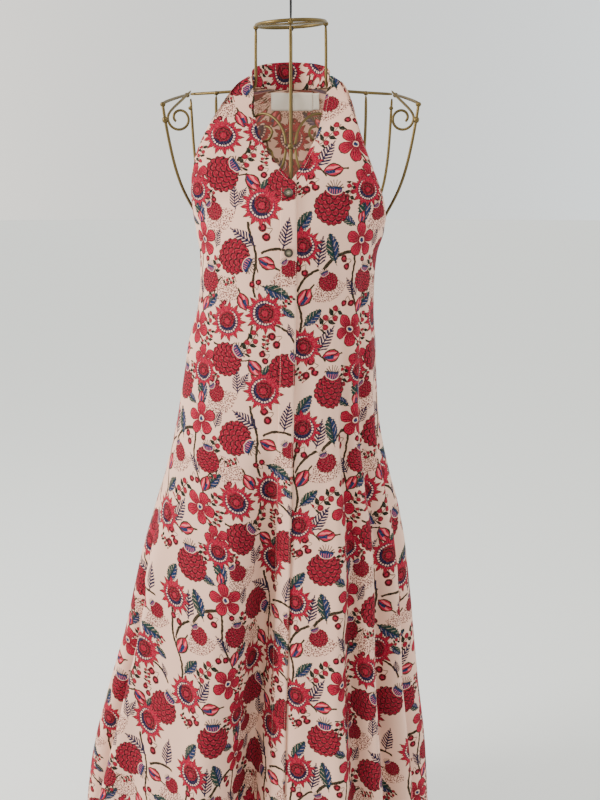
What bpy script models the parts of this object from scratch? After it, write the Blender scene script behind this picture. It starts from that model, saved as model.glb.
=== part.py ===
"""Racerback maxi dress of printed cotton, hung on a brass wire dress form with a black hook.

Metres, +Z up. The origin is the inside of the hook's crown, where the form hangs. The dress faces -Y,
and +X is on the right of someone who looks at its front.
"""

import math

import bmesh
import bpy
from mathutils import Vector
from mathutils.bvhtree import BVHTree

# Cloth
CLOTH = 0.0015  # wall of every garment piece
TRIM = 0.0010  # wall of the placket strip and the labels
GAP = 0.0004  # kept between pieces that meet at a seam or lie on each other
LAP_AIR = 0.0010  # kept between the overlap and the front under it
HEM_Z = -1.565
UNDERARM_Z = -0.420
NECK_SEAM_Z = -0.2065  # centre back, where the neck band is sewn on
BAND_TOP_Z = -0.1660
BAND_END_Z = -0.1865
LAP = 0.024  # width of the front overlap and of its placket
V_POINT_Z = -0.356
V_ROW = 9  # the front tables' row at the V
FRONT_COLUMNS = 23
BACK_COLUMNS = 14
LOWER_ROWS = 18

# Buttons
BUTTON_RADIUS = 0.0065
BUTTON_THICKNESS = 0.0026
BUTTON_RIM = 0.0014
BUTTON_Z = (-0.3645, -0.4485)
HOLE_RADIUS = 0.0007
HOLE_OFFSET = 0.0016

# Wire form
FRAME_WIRE = 0.0020  # radius
RING_WIRE = 0.0022
SCROLL_WIRE = 0.0017
HOOK_WIRE = 0.00175
RING_Z = -0.120
RING_HALF_WIDTH = 0.052
RING_HALF_DEPTH = 0.053
RING_TILT = 0.103  # rise per metre towards the back
NECK_WIRE_X = 0.0528
SHOULDER_BACK = Vector((0.164, 0.050, -0.2130))
SHOULDER_FRONT = Vector((0.187, -0.050, -0.2353))
BAR_WIDTH = 0.009
BAR_THICKNESS = 0.002
HOOK_CROWN = 0.020  # radius of the hook's centreline
RING_ROLL = 0.05  # rise per metre towards +X, where the ring is bent
COLLAR_Z = -0.2985
# The chest scrolls of one side, x and z, from the collar out and round to their inner ends
UPPER_SCROLL = [
    (0.0070, -0.2960), (0.0080, -0.2860), (0.0115, -0.2745), (0.0195, -0.2620), (0.0300, -0.2535),
    (0.0414, -0.2500), (0.0525, -0.2530), (0.0595, -0.2630), (0.0610, -0.2740), (0.0570, -0.2850),
    (0.0480, -0.2910), (0.0380, -0.2905), (0.0300, -0.2855), (0.0270, -0.2775), (0.0310, -0.2705),
    (0.0385, -0.2685),
]
LOWER_SCROLL = [
    (0.0070, -0.3012), (0.0080, -0.3110), (0.0100, -0.3200), (0.0140, -0.3300), (0.0230, -0.3405),
    (0.0350, -0.3455), (0.0470, -0.3430), (0.0555, -0.3345), (0.0580, -0.3235), (0.0535, -0.3110),
    (0.0440, -0.3020), (0.0345, -0.3010), (0.0270, -0.3070), (0.0265, -0.3160), (0.0330, -0.3215),
    (0.0400, -0.3190),
]


def table(names, rows):
    """The rows' numbers as one list for each named column."""
    return {name: [row[i] for row in rows] for i, name in enumerate(names.split())}


def at(columns, name, station):
    """A column's value at a row number, with a smooth curve through the rows."""
    values = columns[name]
    last = len(values) - 1
    i = max(0, min(last - 1, int(math.floor(station))))
    t = station - i
    a, b = values[i], values[i + 1]
    before = a - values[i - 1] if i > 0 else b - a
    after = values[i + 2] - b if i + 2 <= last else b - a
    step = b - a
    enter = 0.0 if before * step <= 0 else 2 * before * step / (before + step)
    leave = 0.0 if after * step <= 0 else 2 * after * step / (after + step)
    h = t * t * (3 - 2 * t)
    return a + h * step + (t * (1 - t) ** 2) * enter - (t * t * (1 - t)) * leave


# The dress below the underarm: where the side seams are, how far the front and back reach, and the
# edge of the front overlap.
BODY = table(
    "z left right front back lap",
    [
        (-0.4200, -0.1490, 0.1460, -0.1125, 0.0950, 0.0092),
        (-0.4720, -0.1440, 0.1335, -0.1080, 0.0890, 0.0090),
        (-0.5300, -0.1490, 0.1320, -0.1030, 0.0860, 0.0084),
        (-0.6000, -0.1680, 0.1365, -0.1075, 0.0960, 0.0068),
        (-0.7000, -0.1850, 0.1420, -0.1230, 0.1140, 0.0045),
        (-0.8000, -0.2085, 0.1600, -0.1410, 0.1330, 0.0020),
        (-0.9000, -0.2405, 0.1850, -0.1580, 0.1500, -0.0010),
        (-1.0000, -0.2685, 0.2000, -0.1740, 0.1660, -0.0035),
        (-1.1000, -0.2930, 0.2115, -0.1890, 0.1810, -0.0065),
        (-1.2000, -0.3215, 0.2235, -0.2030, 0.1950, -0.0090),
        (-1.3000, -0.3500, 0.2370, -0.2160, 0.2080, -0.0115),
        (-1.4000, -0.3695, 0.2450, -0.2280, 0.2200, -0.0135),
        (-1.5000, -0.3830, 0.2515, -0.2390, 0.2310, -0.0155),
        (HEM_Z, -0.3915, 0.2560, -0.2460, 0.2380, -0.0165),
    ],
)

# Front panels above the underarm, from the shoulder seam down: the neck edge, the armhole edge, how
# round the cloth is between them and how far it bulges forward.
TOP_COLUMNS = "x_in y_in z_in x_out y_out z_out round bulge"
RIGHT_TOP = [
    (-0.0595, -0.0004, -0.1925, -0.0760, -0.0004, -0.2010, 2.0, 0.0),
    (-0.0594, -0.0045, -0.1928, -0.0768, -0.0050, -0.2015, 2.0, 0.0),
    (-0.0570, -0.0130, -0.2090, -0.0885, -0.0165, -0.2150, 2.0, 0.001),
    (-0.0540, -0.0260, -0.2300, -0.1005, -0.0310, -0.2350, 2.0, 0.003),
    (-0.0528, -0.0410, -0.2530, -0.1145, -0.0430, -0.2570, 2.0, 0.006),
    (-0.0480, -0.0545, -0.2760, -0.1290, -0.0500, -0.2830, 2.0, 0.009),
    (-0.0370, -0.0675, -0.2990, -0.1410, -0.0510, -0.3110, 2.0, 0.009),
    (-0.0215, -0.0795, -0.3210, -0.1485, -0.0460, -0.3420, 2.1, 0.006),
    (-0.0050, -0.0885, -0.3400, -0.1510, -0.0340, -0.3730, 2.2, 0.002),
    (0.0092, -0.0955, V_POINT_Z, -0.1505, -0.0170, -0.3990, 2.2, 0.0),
]
LEFT_TOP = [
    (0.0595, -0.0004, -0.1925, 0.0745, -0.0004, -0.2010, 2.0, 0.0),
    (0.0594, -0.0045, -0.1928, 0.0751, -0.0050, -0.2015, 2.0, 0.0),
    (0.0555, -0.0130, -0.2095, 0.0835, -0.0170, -0.2150, 2.0, 0.001),
    (0.0500, -0.0270, -0.2320, 0.0910, -0.0320, -0.2360, 2.0, 0.003),
    (0.0455, -0.0430, -0.2560, 0.0975, -0.0470, -0.2620, 2.0, 0.006),
    (0.0375, -0.0580, -0.2830, 0.1070, -0.0570, -0.2920, 2.0, 0.009),
    (0.0260, -0.0710, -0.3060, 0.1185, -0.0600, -0.3220, 2.0, 0.008),
    (0.0145, -0.0820, -0.3280, 0.1310, -0.0580, -0.3520, 2.1, 0.005),
    (0.0015, -0.0905, -0.3460, 0.1410, -0.0450, -0.3800, 2.2, 0.002),
    (-0.0148, -0.0980, -0.3620, 0.1455, -0.0220, -0.4040, 2.2, 0.0),
]
# The back panel's half above the underarm: the neckline, then the racerback armhole. The columns are
# x_in y_in z_in out y_out z_out round bulge, where out is a share of the underarm's half width.
BACK_TOP = [
    (0.0595, 0.0004, -0.1925, 0.510, 0.0004, -0.2010, 2.0, 0.0),
    (0.0594, 0.0045, -0.1928, 0.514, 0.0050, -0.2015, 2.0, 0.0),
    (0.0550, 0.0180, -0.2030, 0.515, 0.0200, -0.2160, 2.0, 0.001),
    (0.0430, 0.0340, -0.2058, 0.490, 0.0400, -0.2370, 2.0, 0.002),
    (0.0240, 0.0460, -0.2063, 0.455, 0.0560, -0.2620, 2.0, 0.003),
    (0.0000, 0.0500, NECK_SEAM_Z, 0.430, 0.0670, -0.2920, 2.1, 0.003),
    (0.0000, 0.0605, -0.2450, 0.465, 0.0730, -0.3220, 2.2, 0.003),
    (0.0000, 0.0720, -0.2850, 0.585, 0.0725, -0.3520, 2.2, 0.003),
    (0.0000, 0.0820, -0.3250, 0.765, 0.0620, -0.3800, 2.2, 0.002),
    (0.0000, 0.0900, -0.3700, 0.930, 0.0360, -0.4040, 2.2, 0.0),
]
BODY_ROUND = 2.25

# Folds, soft ridges out of the cloth (height above 0) and troughs into it. across is 0 at the centre
# edge of a panel and 1 at its side seam; a fold starts flat at z_start and is full at z_full. The
# columns are across_top across_low z_start z_full height width.
RIGHT_FOLDS = [
    (0.088, 0.102, -0.70, -1.25, -0.052, 0.050),
    (0.22, 0.24, -0.75, -1.35, 0.015, 0.070),
    (0.48, 0.48, -0.90, -1.45, -0.008, 0.080),
    (0.65, 0.64, -0.78, -1.30, 0.018, 0.070),
    (0.80, 0.765, -0.85, -1.25, -0.036, 0.042),
    (0.92, 0.900, -0.90, -1.30, 0.005, 0.060),
]
LEFT_FOLDS = [
    (0.16, 0.12, -0.75, -1.40, -0.010, 0.060),
    (0.36, 0.24, -0.45, -1.15, 0.012, 0.050),
    (0.45, 0.325, -0.42, -1.10, -0.018, 0.038),
    (0.55, 0.40, -0.42, -1.10, 0.015, 0.042),
    (0.64, 0.48, -0.45, -1.15, -0.020, 0.038),
    (0.74, 0.57, -0.50, -1.15, 0.016, 0.048),
    (0.85, 0.69, -0.60, -1.20, -0.018, 0.048),
    (0.93, 0.83, -0.70, -1.20, 0.005, 0.055),
]
BACK_FOLDS = [
    (0.05, 0.10, -0.60, -1.30, 0.018, 0.090),
    (0.28, 0.30, -0.55, -1.30, -0.026, 0.090),
    (0.52, 0.54, -0.62, -1.30, 0.022, 0.095),
    (0.76, 0.76, -0.70, -1.30, -0.022, 0.070),
]


def smoothstep(edge_a, edge_b, value):
    t = max(0.0, min(1.0, (value - edge_a) / (edge_b - edge_a)))
    return t * t * (3 - 2 * t)


def fold_height(folds, across, z, centre_fade):
    """How far the folds push the cloth out at a place; nothing at the seams, so that panels still meet."""
    total = 0.0
    for top, low, start, full, height, width in folds:
        grown = max(0.0, (start - z) / (start - full))
        middle = top + (low - top) * min(1.0, grown)
        total += height * min(1.15, grown) * math.exp(-(((across - middle) / width) ** 2))
    if centre_fade:
        total *= smoothstep(0.0, centre_fade, across)
    return total * smoothstep(0.0, 0.07, 1 - across)


def panel_sections(top, lower):
    """One table for a half panel, from its shoulder seam to the hem."""
    return table(TOP_COLUMNS, top + lower)


def lower_sections(side, depth, centre, edge):
    """Rows from the underarm to the hem. side and depth name BODY's columns; centre gives x at the
    panel's middle edge; edge keeps the side seam's gap."""
    rows = []
    last = len(BODY["z"]) - 1
    for i in range(LOWER_ROWS + 1):
        station = last * i / LOWER_ROWS
        z = at(BODY, "z", station)
        rows.append(
            (
                centre(station),
                at(BODY, depth, station),
                z,
                at(BODY, side, station),
                edge,
                z,
                BODY_ROUND,
                0.0,
            )
        )
    return rows


def half_panel(sections, folds, columns, centre_fade=0.09):
    """Rows of points of a half panel, outer side. The first three columns stand half a lap apart, so
    that the placket and the lap under it lie on the same lines."""
    rows = []
    for station in range(len(sections["x_in"])):
        value = {name: at(sections, name, station) for name in sections}
        power = 2 / value["round"]
        forward = math.copysign(1.0, value["y_in"] - value["y_out"])
        if abs(value["y_in"]) < 0.09 and value["z_in"] > UNDERARM_Z:
            forward = math.copysign(1.0, value["y_in"])
        wide = abs(value["x_out"] - value["x_in"])
        strip = min(LAP, 0.16 * wide) / wide
        second = math.asin((0.5 * strip) ** (1 / power)) / (math.pi / 2)
        third = math.asin(strip ** (1 / power)) / (math.pi / 2)
        shares = [0, second] + [
            third + (1 - third) * k / (columns - 2) for k in range(columns - 1)
        ]
        points = []
        for across in shares:
            turn = across * math.pi / 2
            sideways = math.sin(turn) ** power
            depth = math.cos(turn) ** power if across < 1 else 0.0
            points.append(
                Vector(
                    (
                        value["x_in"] + (value["x_out"] - value["x_in"]) * sideways,
                        value["y_out"]
                        + (value["y_in"] - value["y_out"]) * depth
                        + forward * value["bulge"] * math.sin(across * math.pi),
                        value["z_in"] + (value["z_out"] - value["z_in"]) * sideways**1.5,
                    )
                )
            )
        rows.append(folded(points, shares, folds, centre_fade))
    return rows


def folded(points, shares, folds, centre_fade):
    """A row of points moved along its own outward direction by the folds."""
    last = len(points) - 1
    moved = []
    middle = Vector((0.5 * (points[0].x + points[-1].x) * 0.3, 0.0))
    for i, point in enumerate(points):
        along = points[min(i + 1, last)] - points[max(i - 1, 0)]
        out = Vector((along.y, -along.x))
        if out.length > 0:
            out.normalize()
        if out.dot(Vector((point.x, point.y)) - middle) < 0:
            out = -out
        push = fold_height(folds, shares[i], point.z, centre_fade)
        moved.append(point + Vector((out.x, out.y, 0)) * push)
    return moved


def tucked_under(rows, over, first_row):
    """The rows with their first three columns laid just inside the panel that laps over them, and the
    step eased out over the next few."""
    tree = surface_of([over])
    steps = []
    for row in rows[first_row:]:
        for k in range(3):
            start = Vector((row[k].x, -1.0, row[k].z))
            hit, normal, _, _ = tree.ray_cast(start, Vector((0, 1, 0)))
            depth = hit.y + (CLOTH + LAP_AIR) / abs(normal.y)
            step = depth - row[k].y
            row[k] = Vector((row[k].x, depth, row[k].z))
        steps.append(step)
        edge = row[2].x
        for point in row[3:]:
            point.y += step * (1 - smoothstep(0.0, 0.060, point.x - edge))
    for above, share in ((1, 1.3), (2, 0.8), (3, 0.3)):
        row = rows[first_row - above]
        edge = row[0].x
        for point in row:
            point.y += share * steps[0] * (1 - smoothstep(0.0, 0.060, point.x - edge))


def normals(rows):
    """Outward directions of a grid of points that is seen from -Y."""
    result = []
    for i, row in enumerate(rows):
        line = []
        for j in range(len(row)):
            down = rows[min(i + 1, len(rows) - 1)][j] - rows[max(i - 1, 0)][j]
            across = row[min(j + 1, len(row) - 1)] - row[max(j - 1, 0)]
            normal = down.cross(across).normalized()
            line.append(normal if normal.y < 0 else -normal)
        result.append(line)
    return result


def mesh_object(name, mesh, material, collection):
    obj = bpy.data.objects.new(name, mesh)
    collection.objects.link(obj)
    mesh.materials.append(material)
    return obj


def sheet_mesh(name, grids, merge=0.00005):
    """An open surface from one or more grids of points, joined where they share an edge."""
    bm = bmesh.new()
    for rows, flip in grids:
        made = [[bm.verts.new(point) for point in row] for row in rows]
        for upper, lower in zip(made, made[1:]):
            for a, b, c, d in zip(upper, upper[1:], lower[1:], lower):
                bm.faces.new((a, b, c, d) if flip else (d, c, b, a))
    bmesh.ops.remove_doubles(bm, verts=bm.verts, dist=merge)
    mesh = bpy.data.meshes.new(name)
    bm.to_mesh(mesh)
    bm.free()
    mesh.shade_smooth()
    return mesh


def wall(obj, thickness):
    """Gives an open surface its thickness, inwards."""
    solid = obj.modifiers.new("wall", "SOLIDIFY")
    solid.thickness = thickness
    solid.offset = -1
    solid.use_even_offset = True
    solid.use_quality_normals = True
    return obj


def finish(name, colour, roughness, metallic=0.0):
    material = bpy.data.materials.new(name)
    material.use_nodes = True
    shader = material.node_tree.nodes["Principled BSDF"]
    shader.inputs["Base Color"].default_value = (*colour, 1)
    shader.inputs["Roughness"].default_value = roughness
    shader.inputs["Metallic"].default_value = metallic
    return material


def surface_of(rows_list):
    """A tree for finding the cloth's outer surface along Y."""
    points, faces = [], []
    for rows in rows_list:
        base, width = len(points), len(rows[0])
        points += [p for row in rows for p in row]
        for i in range(len(rows) - 1):
            for j in range(width - 1):
                a = base + i * width + j
                faces.append((a, a + 1, a + width + 1, a + width))
    return BVHTree.FromPolygons(points, faces)


def lying_on(tree, x, z, from_y, lift):
    """The point of a surface met from from_y at x and z, lifted towards from_y."""
    towards = math.copysign(1.0, -from_y) if from_y else 1.0
    hit, normal, _, _ = tree.ray_cast(Vector((x, from_y, z)), Vector((0, towards, 0)))
    if normal.y * towards > 0:
        normal = -normal
    return hit + normal * lift


def dress_panels(collection, cotton):
    """The two fronts and the back. Returns the fronts' and the back's rows of outer points."""
    right = half_panel(
        panel_sections(
            RIGHT_TOP, lower_sections("left", "front", lambda s: at(BODY, "lap", s), -0.0003)
        ),
        RIGHT_FOLDS,
        FRONT_COLUMNS,
        centre_fade=0,
    )
    left = half_panel(
        panel_sections(
            LEFT_TOP,
            lower_sections("right", "front", lambda s: at(BODY, "lap", s) - LAP, -0.0003),
        ),
        LEFT_FOLDS,
        FRONT_COLUMNS,
    )
    tucked_under(left, right, V_ROW)
    backs = []
    for side in ("left", "right"):
        half = BODY[side][0]
        sign = math.copysign(1.0, half)
        top = [
            (sign * row[0], row[1], row[2], row[3] * half, *row[4:]) for row in BACK_TOP
        ]
        lower = lower_sections(
            side,
            "back",
            lambda s: 0.3 * (at(BODY, "left", s) + at(BODY, "right", s)) * smoothstep(0, 4, s),
            0.0003,
        )
        backs.append(half_panel(panel_sections(top, lower), BACK_FOLDS, BACK_COLUMNS))
    wall(
        mesh_object("front_right", sheet_mesh("front_right", [(right, True)]), cotton, collection),
        CLOTH,
    )
    wall(
        mesh_object("front_left", sheet_mesh("front_left", [(left, False)]), cotton, collection),
        CLOTH,
    )
    wall(
        mesh_object(
            "back", sheet_mesh("back", [(backs[0], False), (backs[1], True)]), cotton, collection
        ),
        CLOTH,
    )
    return right, left, backs


def neck_band(collection, cotton):
    """The band that stands up round the back of the neck, tallest at the centre back."""
    lean = 0.10
    neckline = [Vector((row[0], row[1], row[2])) for row in BACK_TOP[1:6]]
    path = [Vector((-p.x, p.y, p.z)) for p in neckline] + neckline[-2::-1]
    steps, levels = 3 * (len(path) - 1), 4
    rows = []
    for level in range(levels + 1):
        row = []
        for step in range(steps + 1):
            span = min(step // 3, len(path) - 2)
            foot = path[span].lerp(path[span + 1], step / 3 - span)
            round_back = max(0.0, math.sin(math.pi * step / steps))
            top = BAND_END_Z + (BAND_TOP_Z - BAND_END_Z) * round_back**0.8
            rise = (top - foot.z) * level / levels
            inwards = Vector((-foot.x, -foot.y, 0)).normalized() * lean * rise
            row.append(foot + inwards + Vector((0, 0, GAP + 0.0005 + rise)))
        rows.append(row)
    band = mesh_object(
        "neck_band", sheet_mesh("neck_band", [(rows, True)]), cotton, collection
    )
    return wall(band, CLOTH)


def placket(collection, cotton, front):
    """The strip down the overlap's edge, from the V to the hem."""
    strip_points = [row[:3] for row in front[V_ROW:]]
    rows = [
        [point + normal * (GAP + TRIM) for point, normal in zip(row, line)]
        for row, line in zip(strip_points, normals(strip_points))
    ]
    strip = mesh_object("placket", sheet_mesh("placket", [(rows, True)]), cotton, collection)
    return wall(strip, TRIM), surface_of([rows])


def labels(collection, backs, woven):
    """The blank neck label and the small tab beside it, on the inside of the back."""
    tree = surface_of(backs)
    for name, x0, x1, z0, z1, columns in (
        ("neck_label", -0.0322, 0.0340, -0.2100, -0.2362, 8),
        ("size_tab", 0.0346, 0.0445, -0.2108, -0.2350, 2),
    ):
        rows = [
            [
                lying_on(tree, x0 + (x1 - x0) * j / columns, z, -0.001, CLOTH + GAP + TRIM)
                for j in range(columns + 1)
            ]
            for z in (z0, (z0 + z1) / 2, z1)
        ]
        wall(
            mesh_object(name, sheet_mesh(name, [(rows, True)]), woven, collection), TRIM
        )


def buttons(collection, cutters, tree, shell):
    """Two-hole buttons with a raised rim, flat on the placket."""
    for number, z in enumerate(BUTTON_Z, 1):
        x = at(BODY, "lap", 0) - LAP / 2
        hit, normal, _, _ = tree.ray_cast(Vector((x, -1.0, z)), Vector((0, 1, 0)))
        normal = normal if normal.y < 0 else -normal
        lift = GAP
        for k in range(16):
            turn = k * math.pi / 8
            rim = hit + BUTTON_RADIUS * Vector((math.cos(turn), 0, math.sin(turn)))
            under = lying_on(tree, rim.x, rim.z, -1.0, 0)
            lift = max(lift, GAP + (under - hit).dot(normal))
        place = hit + normal * lift
        tilt = normal.to_track_quat("Z", "Y").to_euler()
        profile = [
            (0.0, 0.0),
            (BUTTON_RADIUS - 0.0006, 0.0),
            (BUTTON_RADIUS, BUTTON_THICKNESS * 0.5),
            (BUTTON_RADIUS - 0.0005, BUTTON_THICKNESS),
            (BUTTON_RADIUS - BUTTON_RIM, BUTTON_THICKNESS),
            (BUTTON_RADIUS - BUTTON_RIM - 0.0007, BUTTON_THICKNESS - 0.0008),
            (0.0, BUTTON_THICKNESS - 0.0008),
        ]
        button = turned(f"button_{number}", profile, 20, shell, collection)
        button.rotation_euler = tilt
        button.location = place
        for side in (-1, 1):
            bpy.ops.mesh.primitive_cylinder_add(vertices=8, radius=HOLE_RADIUS, depth=0.01)
            hole = bpy.context.object
            hole.name = f"cutter_button_{number}_{side}"
            hole.rotation_euler = button.rotation_euler
            hole.location = place + Vector((side * HOLE_OFFSET, 0, 0))
            hide_cutter(hole, cutters)
            cut = button.modifiers.new(f"hole_{side}", "BOOLEAN")
            cut.object = hole


def turned(name, profile, sides, material, collection):
    """A closed body from a profile of (radius, height), bottom to top, turned round Z."""
    bm = bmesh.new()
    rings = []
    for radius, height in profile:
        if radius == 0:
            rings.append([bm.verts.new((0, 0, height))])
            continue
        rings.append(
            [
                bm.verts.new(
                    (
                        radius * math.cos(2 * math.pi * k / sides),
                        radius * math.sin(2 * math.pi * k / sides),
                        height,
                    )
                )
                for k in range(sides)
            ]
        )
    for lower, upper in zip(rings, rings[1:]):
        for k in range(sides):
            n = (k + 1) % sides
            if len(lower) == 1:
                bm.faces.new((lower[0], upper[n], upper[k]))
            elif len(upper) == 1:
                bm.faces.new((lower[k], lower[n], upper[0]))
            else:
                bm.faces.new((lower[k], lower[n], upper[n], upper[k]))
    bmesh.ops.recalc_face_normals(bm, faces=bm.faces)
    mesh = bpy.data.meshes.new(name)
    bm.to_mesh(mesh)
    bm.free()
    return mesh_object(name, mesh, material, collection)


def hide_cutter(obj, cutters):
    for owner in list(obj.users_collection):
        owner.objects.unlink(obj)
    cutters.objects.link(obj)
    obj.hide_render = True
    obj.display_type = "WIRE"


def wire(name, points, radius, material, collection, closed=False, sides=6):
    """A round wire along points, as a curve with a round bevel."""
    curve = bpy.data.curves.new(name, "CURVE")
    curve.dimensions = "3D"
    curve.bevel_depth = radius
    curve.bevel_resolution = sides // 2 - 2
    curve.use_fill_caps = not closed
    spline = curve.splines.new("POLY")
    spline.points.add(len(points) - 1)
    for place, point in zip(spline.points, points):
        place.co = (*point, 1)
    spline.use_cyclic_u = closed
    obj = bpy.data.objects.new(name, curve)
    collection.objects.link(obj)
    curve.materials.append(material)
    return obj


def through(points, per_span=3):
    """A smooth run of points through the given ones."""
    curve = table("x y z", [tuple(p) for p in points])
    count = (len(points) - 1) * per_span
    return [
        Vector([at(curve, axis, (len(points) - 1) * i / count) for axis in "xyz"])
        for i in range(count + 1)
    ]


def hoop_points(z, half_width, front, back, count=28):
    """A closed hoop round the torso, flatter behind."""
    points = []
    for i in range(count):
        turn = 2 * math.pi * i / count
        depth = back if math.sin(turn) > 0 else -front
        points.append(Vector((half_width * math.cos(turn), depth * math.sin(turn), z)))
    return points


def chest_y(x, z):
    """The front of the form between neck and bust, just inside the cloth."""
    stations = ((-0.12, -0.052), (-0.21, -0.050), (-0.25, -0.056), (-0.30, -0.070))
    stations += ((-0.35, -0.083), (-0.40, -0.098))
    y = stations[-1][1]
    for (z_a, y_a), (z_b, y_b) in zip(stations, stations[1:]):
        if z_b <= z <= z_a:
            y = y_a + (y_b - y_a) * (z - z_a) / (z_b - z_a)
    return y + 9.5 * x * x


def spiral(centre, start, sweep, wide, tight, count):
    """Points (x, z) of a scroll that tightens as it turns."""
    points = []
    for i in range(count + 1):
        t = i / count
        turn = math.radians(start + sweep * t)
        radius = wide + (tight - wide) * t**1.6
        points.append((centre[0] + radius * math.cos(turn), centre[1] + radius * math.sin(turn)))
    return points


# Where the torso's hoops are, and their half width, front and back.
HOOPS = {
    "bust_hoop": (-0.440, 0.134, -0.099, 0.083),
    "waist_hoop": (-0.530, 0.120, -0.088, 0.071),
    "hip_hoop": (-0.740, 0.132, -0.112, 0.100),
}
INSIDE_HOOP = 2 * FRAME_WIRE + 0.0008  # from a hoop's centreline to an upright's


def on_hoop(name, x, face, drop=0.0):
    """The place of an upright just inside a hoop, at x, on its front (-1) or back (1)."""
    z, half_width, front, back = HOOPS[name]
    half_width, depth = half_width - INSIDE_HOOP, (back if face > 0 else -front) - INSIDE_HOOP
    return Vector((x, face * depth * math.sqrt(1 - (x / half_width) ** 2), z + drop))


def torso_uprights(collection, brass):
    """The wires from the neck and shoulders down to the hip hoop."""
    front_top = Vector((0, -RING_HALF_DEPTH, RING_Z - RING_TILT * RING_HALF_DEPTH - 0.0046))
    back_top = Vector((0, RING_HALF_DEPTH, RING_Z + RING_TILT * RING_HALF_DEPTH - 0.0046))
    foot = -0.006
    centre = [front_top]
    centre += [Vector((0, chest_y(0, z), z)) for z in (-0.165, -0.21, -0.25, -0.30, -0.35, -0.395)]
    centre += [on_hoop(name, 0, -1) for name in HOOPS]
    centre.append(on_hoop("hip_hoop", 0, -1, foot))
    wire("form_centre_front", through(centre, 2), FRAME_WIRE, brass, collection)
    spine = [back_top]
    spine += [
        Vector((0, 0.0410, -0.150)),
        Vector((0, 0.0400, -0.175)),
        Vector((0, 0.0430, -0.210)),
        Vector((0, 0.0510, -0.250)),
        Vector((0, 0.064, -0.300)),
        Vector((0, 0.075, -0.360)),
    ]
    spine += [on_hoop(name, 0, 1) for name in HOOPS]
    spine.append(on_hoop("hip_hoop", 0, 1, foot))
    wire("form_centre_back", through(spine, 2), FRAME_WIRE, brass, collection)
    for side, sign in (("right", -1), ("left", 1)):
        princess = [
            Vector((sign * 0.1150, 0.0145, -0.2182)),
            Vector((sign * 0.1140, -0.0020, -0.2540)),
            Vector((sign * 0.1110, -0.0260, -0.3000)),
            Vector((sign * 0.1040, -0.0520, -0.3500)),
            Vector((sign * 0.0940, -0.0640, -0.4000)),
            on_hoop("bust_hoop", sign * 0.084, -1),
            on_hoop("waist_hoop", sign * 0.072, -1),
            on_hoop("hip_hoop", sign * 0.080, -1),
            on_hoop("hip_hoop", sign * 0.080, -1, foot),
        ]
        wire(f"form_princess_{side}", through(princess, 2), FRAME_WIRE, brass, collection)
        back = [
            Vector((sign * 0.1585, 0.0480, -0.2180)),
            Vector((sign * 0.1550, 0.0430, -0.3000)),
            Vector((sign * 0.1450, 0.0300, -0.3600)),
            Vector((sign * 0.1250, 0.0250, -0.4050)),
            Vector((sign * 0.1140, 0.0340, -0.4250)),
            on_hoop("bust_hoop", sign * 0.1100, 1),
            on_hoop("waist_hoop", sign * 0.078, 1),
            on_hoop("hip_hoop", sign * 0.084, 1),
            on_hoop("hip_hoop", sign * 0.084, 1, foot),
        ]
        wire(f"form_back_{side}", through(back, 2), FRAME_WIRE, brass, collection)


def shoulders(collection, brass):
    """On each side: the neck and shoulder wire, the armhole wire with its end bar, and the scroll."""
    for side, sign in (("right", -1), ("left", 1)):
        neck = [
            (RING_HALF_WIDTH, 0, RING_Z + RING_ROLL * sign * RING_HALF_WIDTH - 0.0048),
            (NECK_WIRE_X, 0, -0.160),
            (NECK_WIRE_X + 0.0002, 0.001, -0.195),
            (NECK_WIRE_X + 0.0012, 0.002, -0.2055),
            (0.0590, 0.003, -0.2105),
            (0.0700, 0.005, -0.2125),
            (0.1150, 0.0190, -0.2140),
            (0.1590, 0.0440, -0.2130),
        ]
        points = [Vector((sign * x, y, z)) for x, y, z in neck]
        wire(f"form_shoulder_{side}", through(points, 2), FRAME_WIRE, brass, collection)
        back, front = SHOULDER_BACK, SHOULDER_FRONT
        arm = [
            Vector((back.x, back.y, back.z)),
            Vector((front.x - 0.002, front.y + 0.008, front.z + 0.001)),
            Vector((front.x, front.y, front.z - 0.004)),
            Vector((0.1845, -0.0500, -0.2600)),
            Vector((0.1750, -0.0480, -0.3165)),
            Vector((0.1640, -0.0300, -0.3600)),
            Vector((0.1490, 0.0000, -0.3950)),
            Vector((0.1395, 0.0060, -0.4160)),
            Vector((0.1290, 0.0030, -0.4400)),
            Vector((0.1150, 0.0030, -0.5300)),
            Vector((0.1270, 0.0030, -0.7400)),
            Vector((0.1270, 0.0030, -0.7460)),
        ]
        points = [Vector((sign * p.x, p.y, p.z)) for p in arm]
        wire(f"form_armhole_{side}", through(points, 2), FRAME_WIRE, brass, collection)
        knot = points[3] - points[2]
        collar(f"form_knot_{side}", points[3], knot, brass, collection)
        curl = spiral((0.1650, -0.2570), 20, -420, 0.0175, 0.0065, 18)
        lead = [(0.1560, 0.0385, -0.2085), (0.1665, 0.0150, -0.2240), (0.1770, -0.0180, -0.2400)]
        points = [Vector((sign * x, y, z)) for x, y, z in lead]
        points += [Vector((sign * x, -0.0400, z)) for x, z in curl]
        wire(f"form_shoulder_scroll_{side}", points, SCROLL_WIRE, brass, collection)


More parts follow.
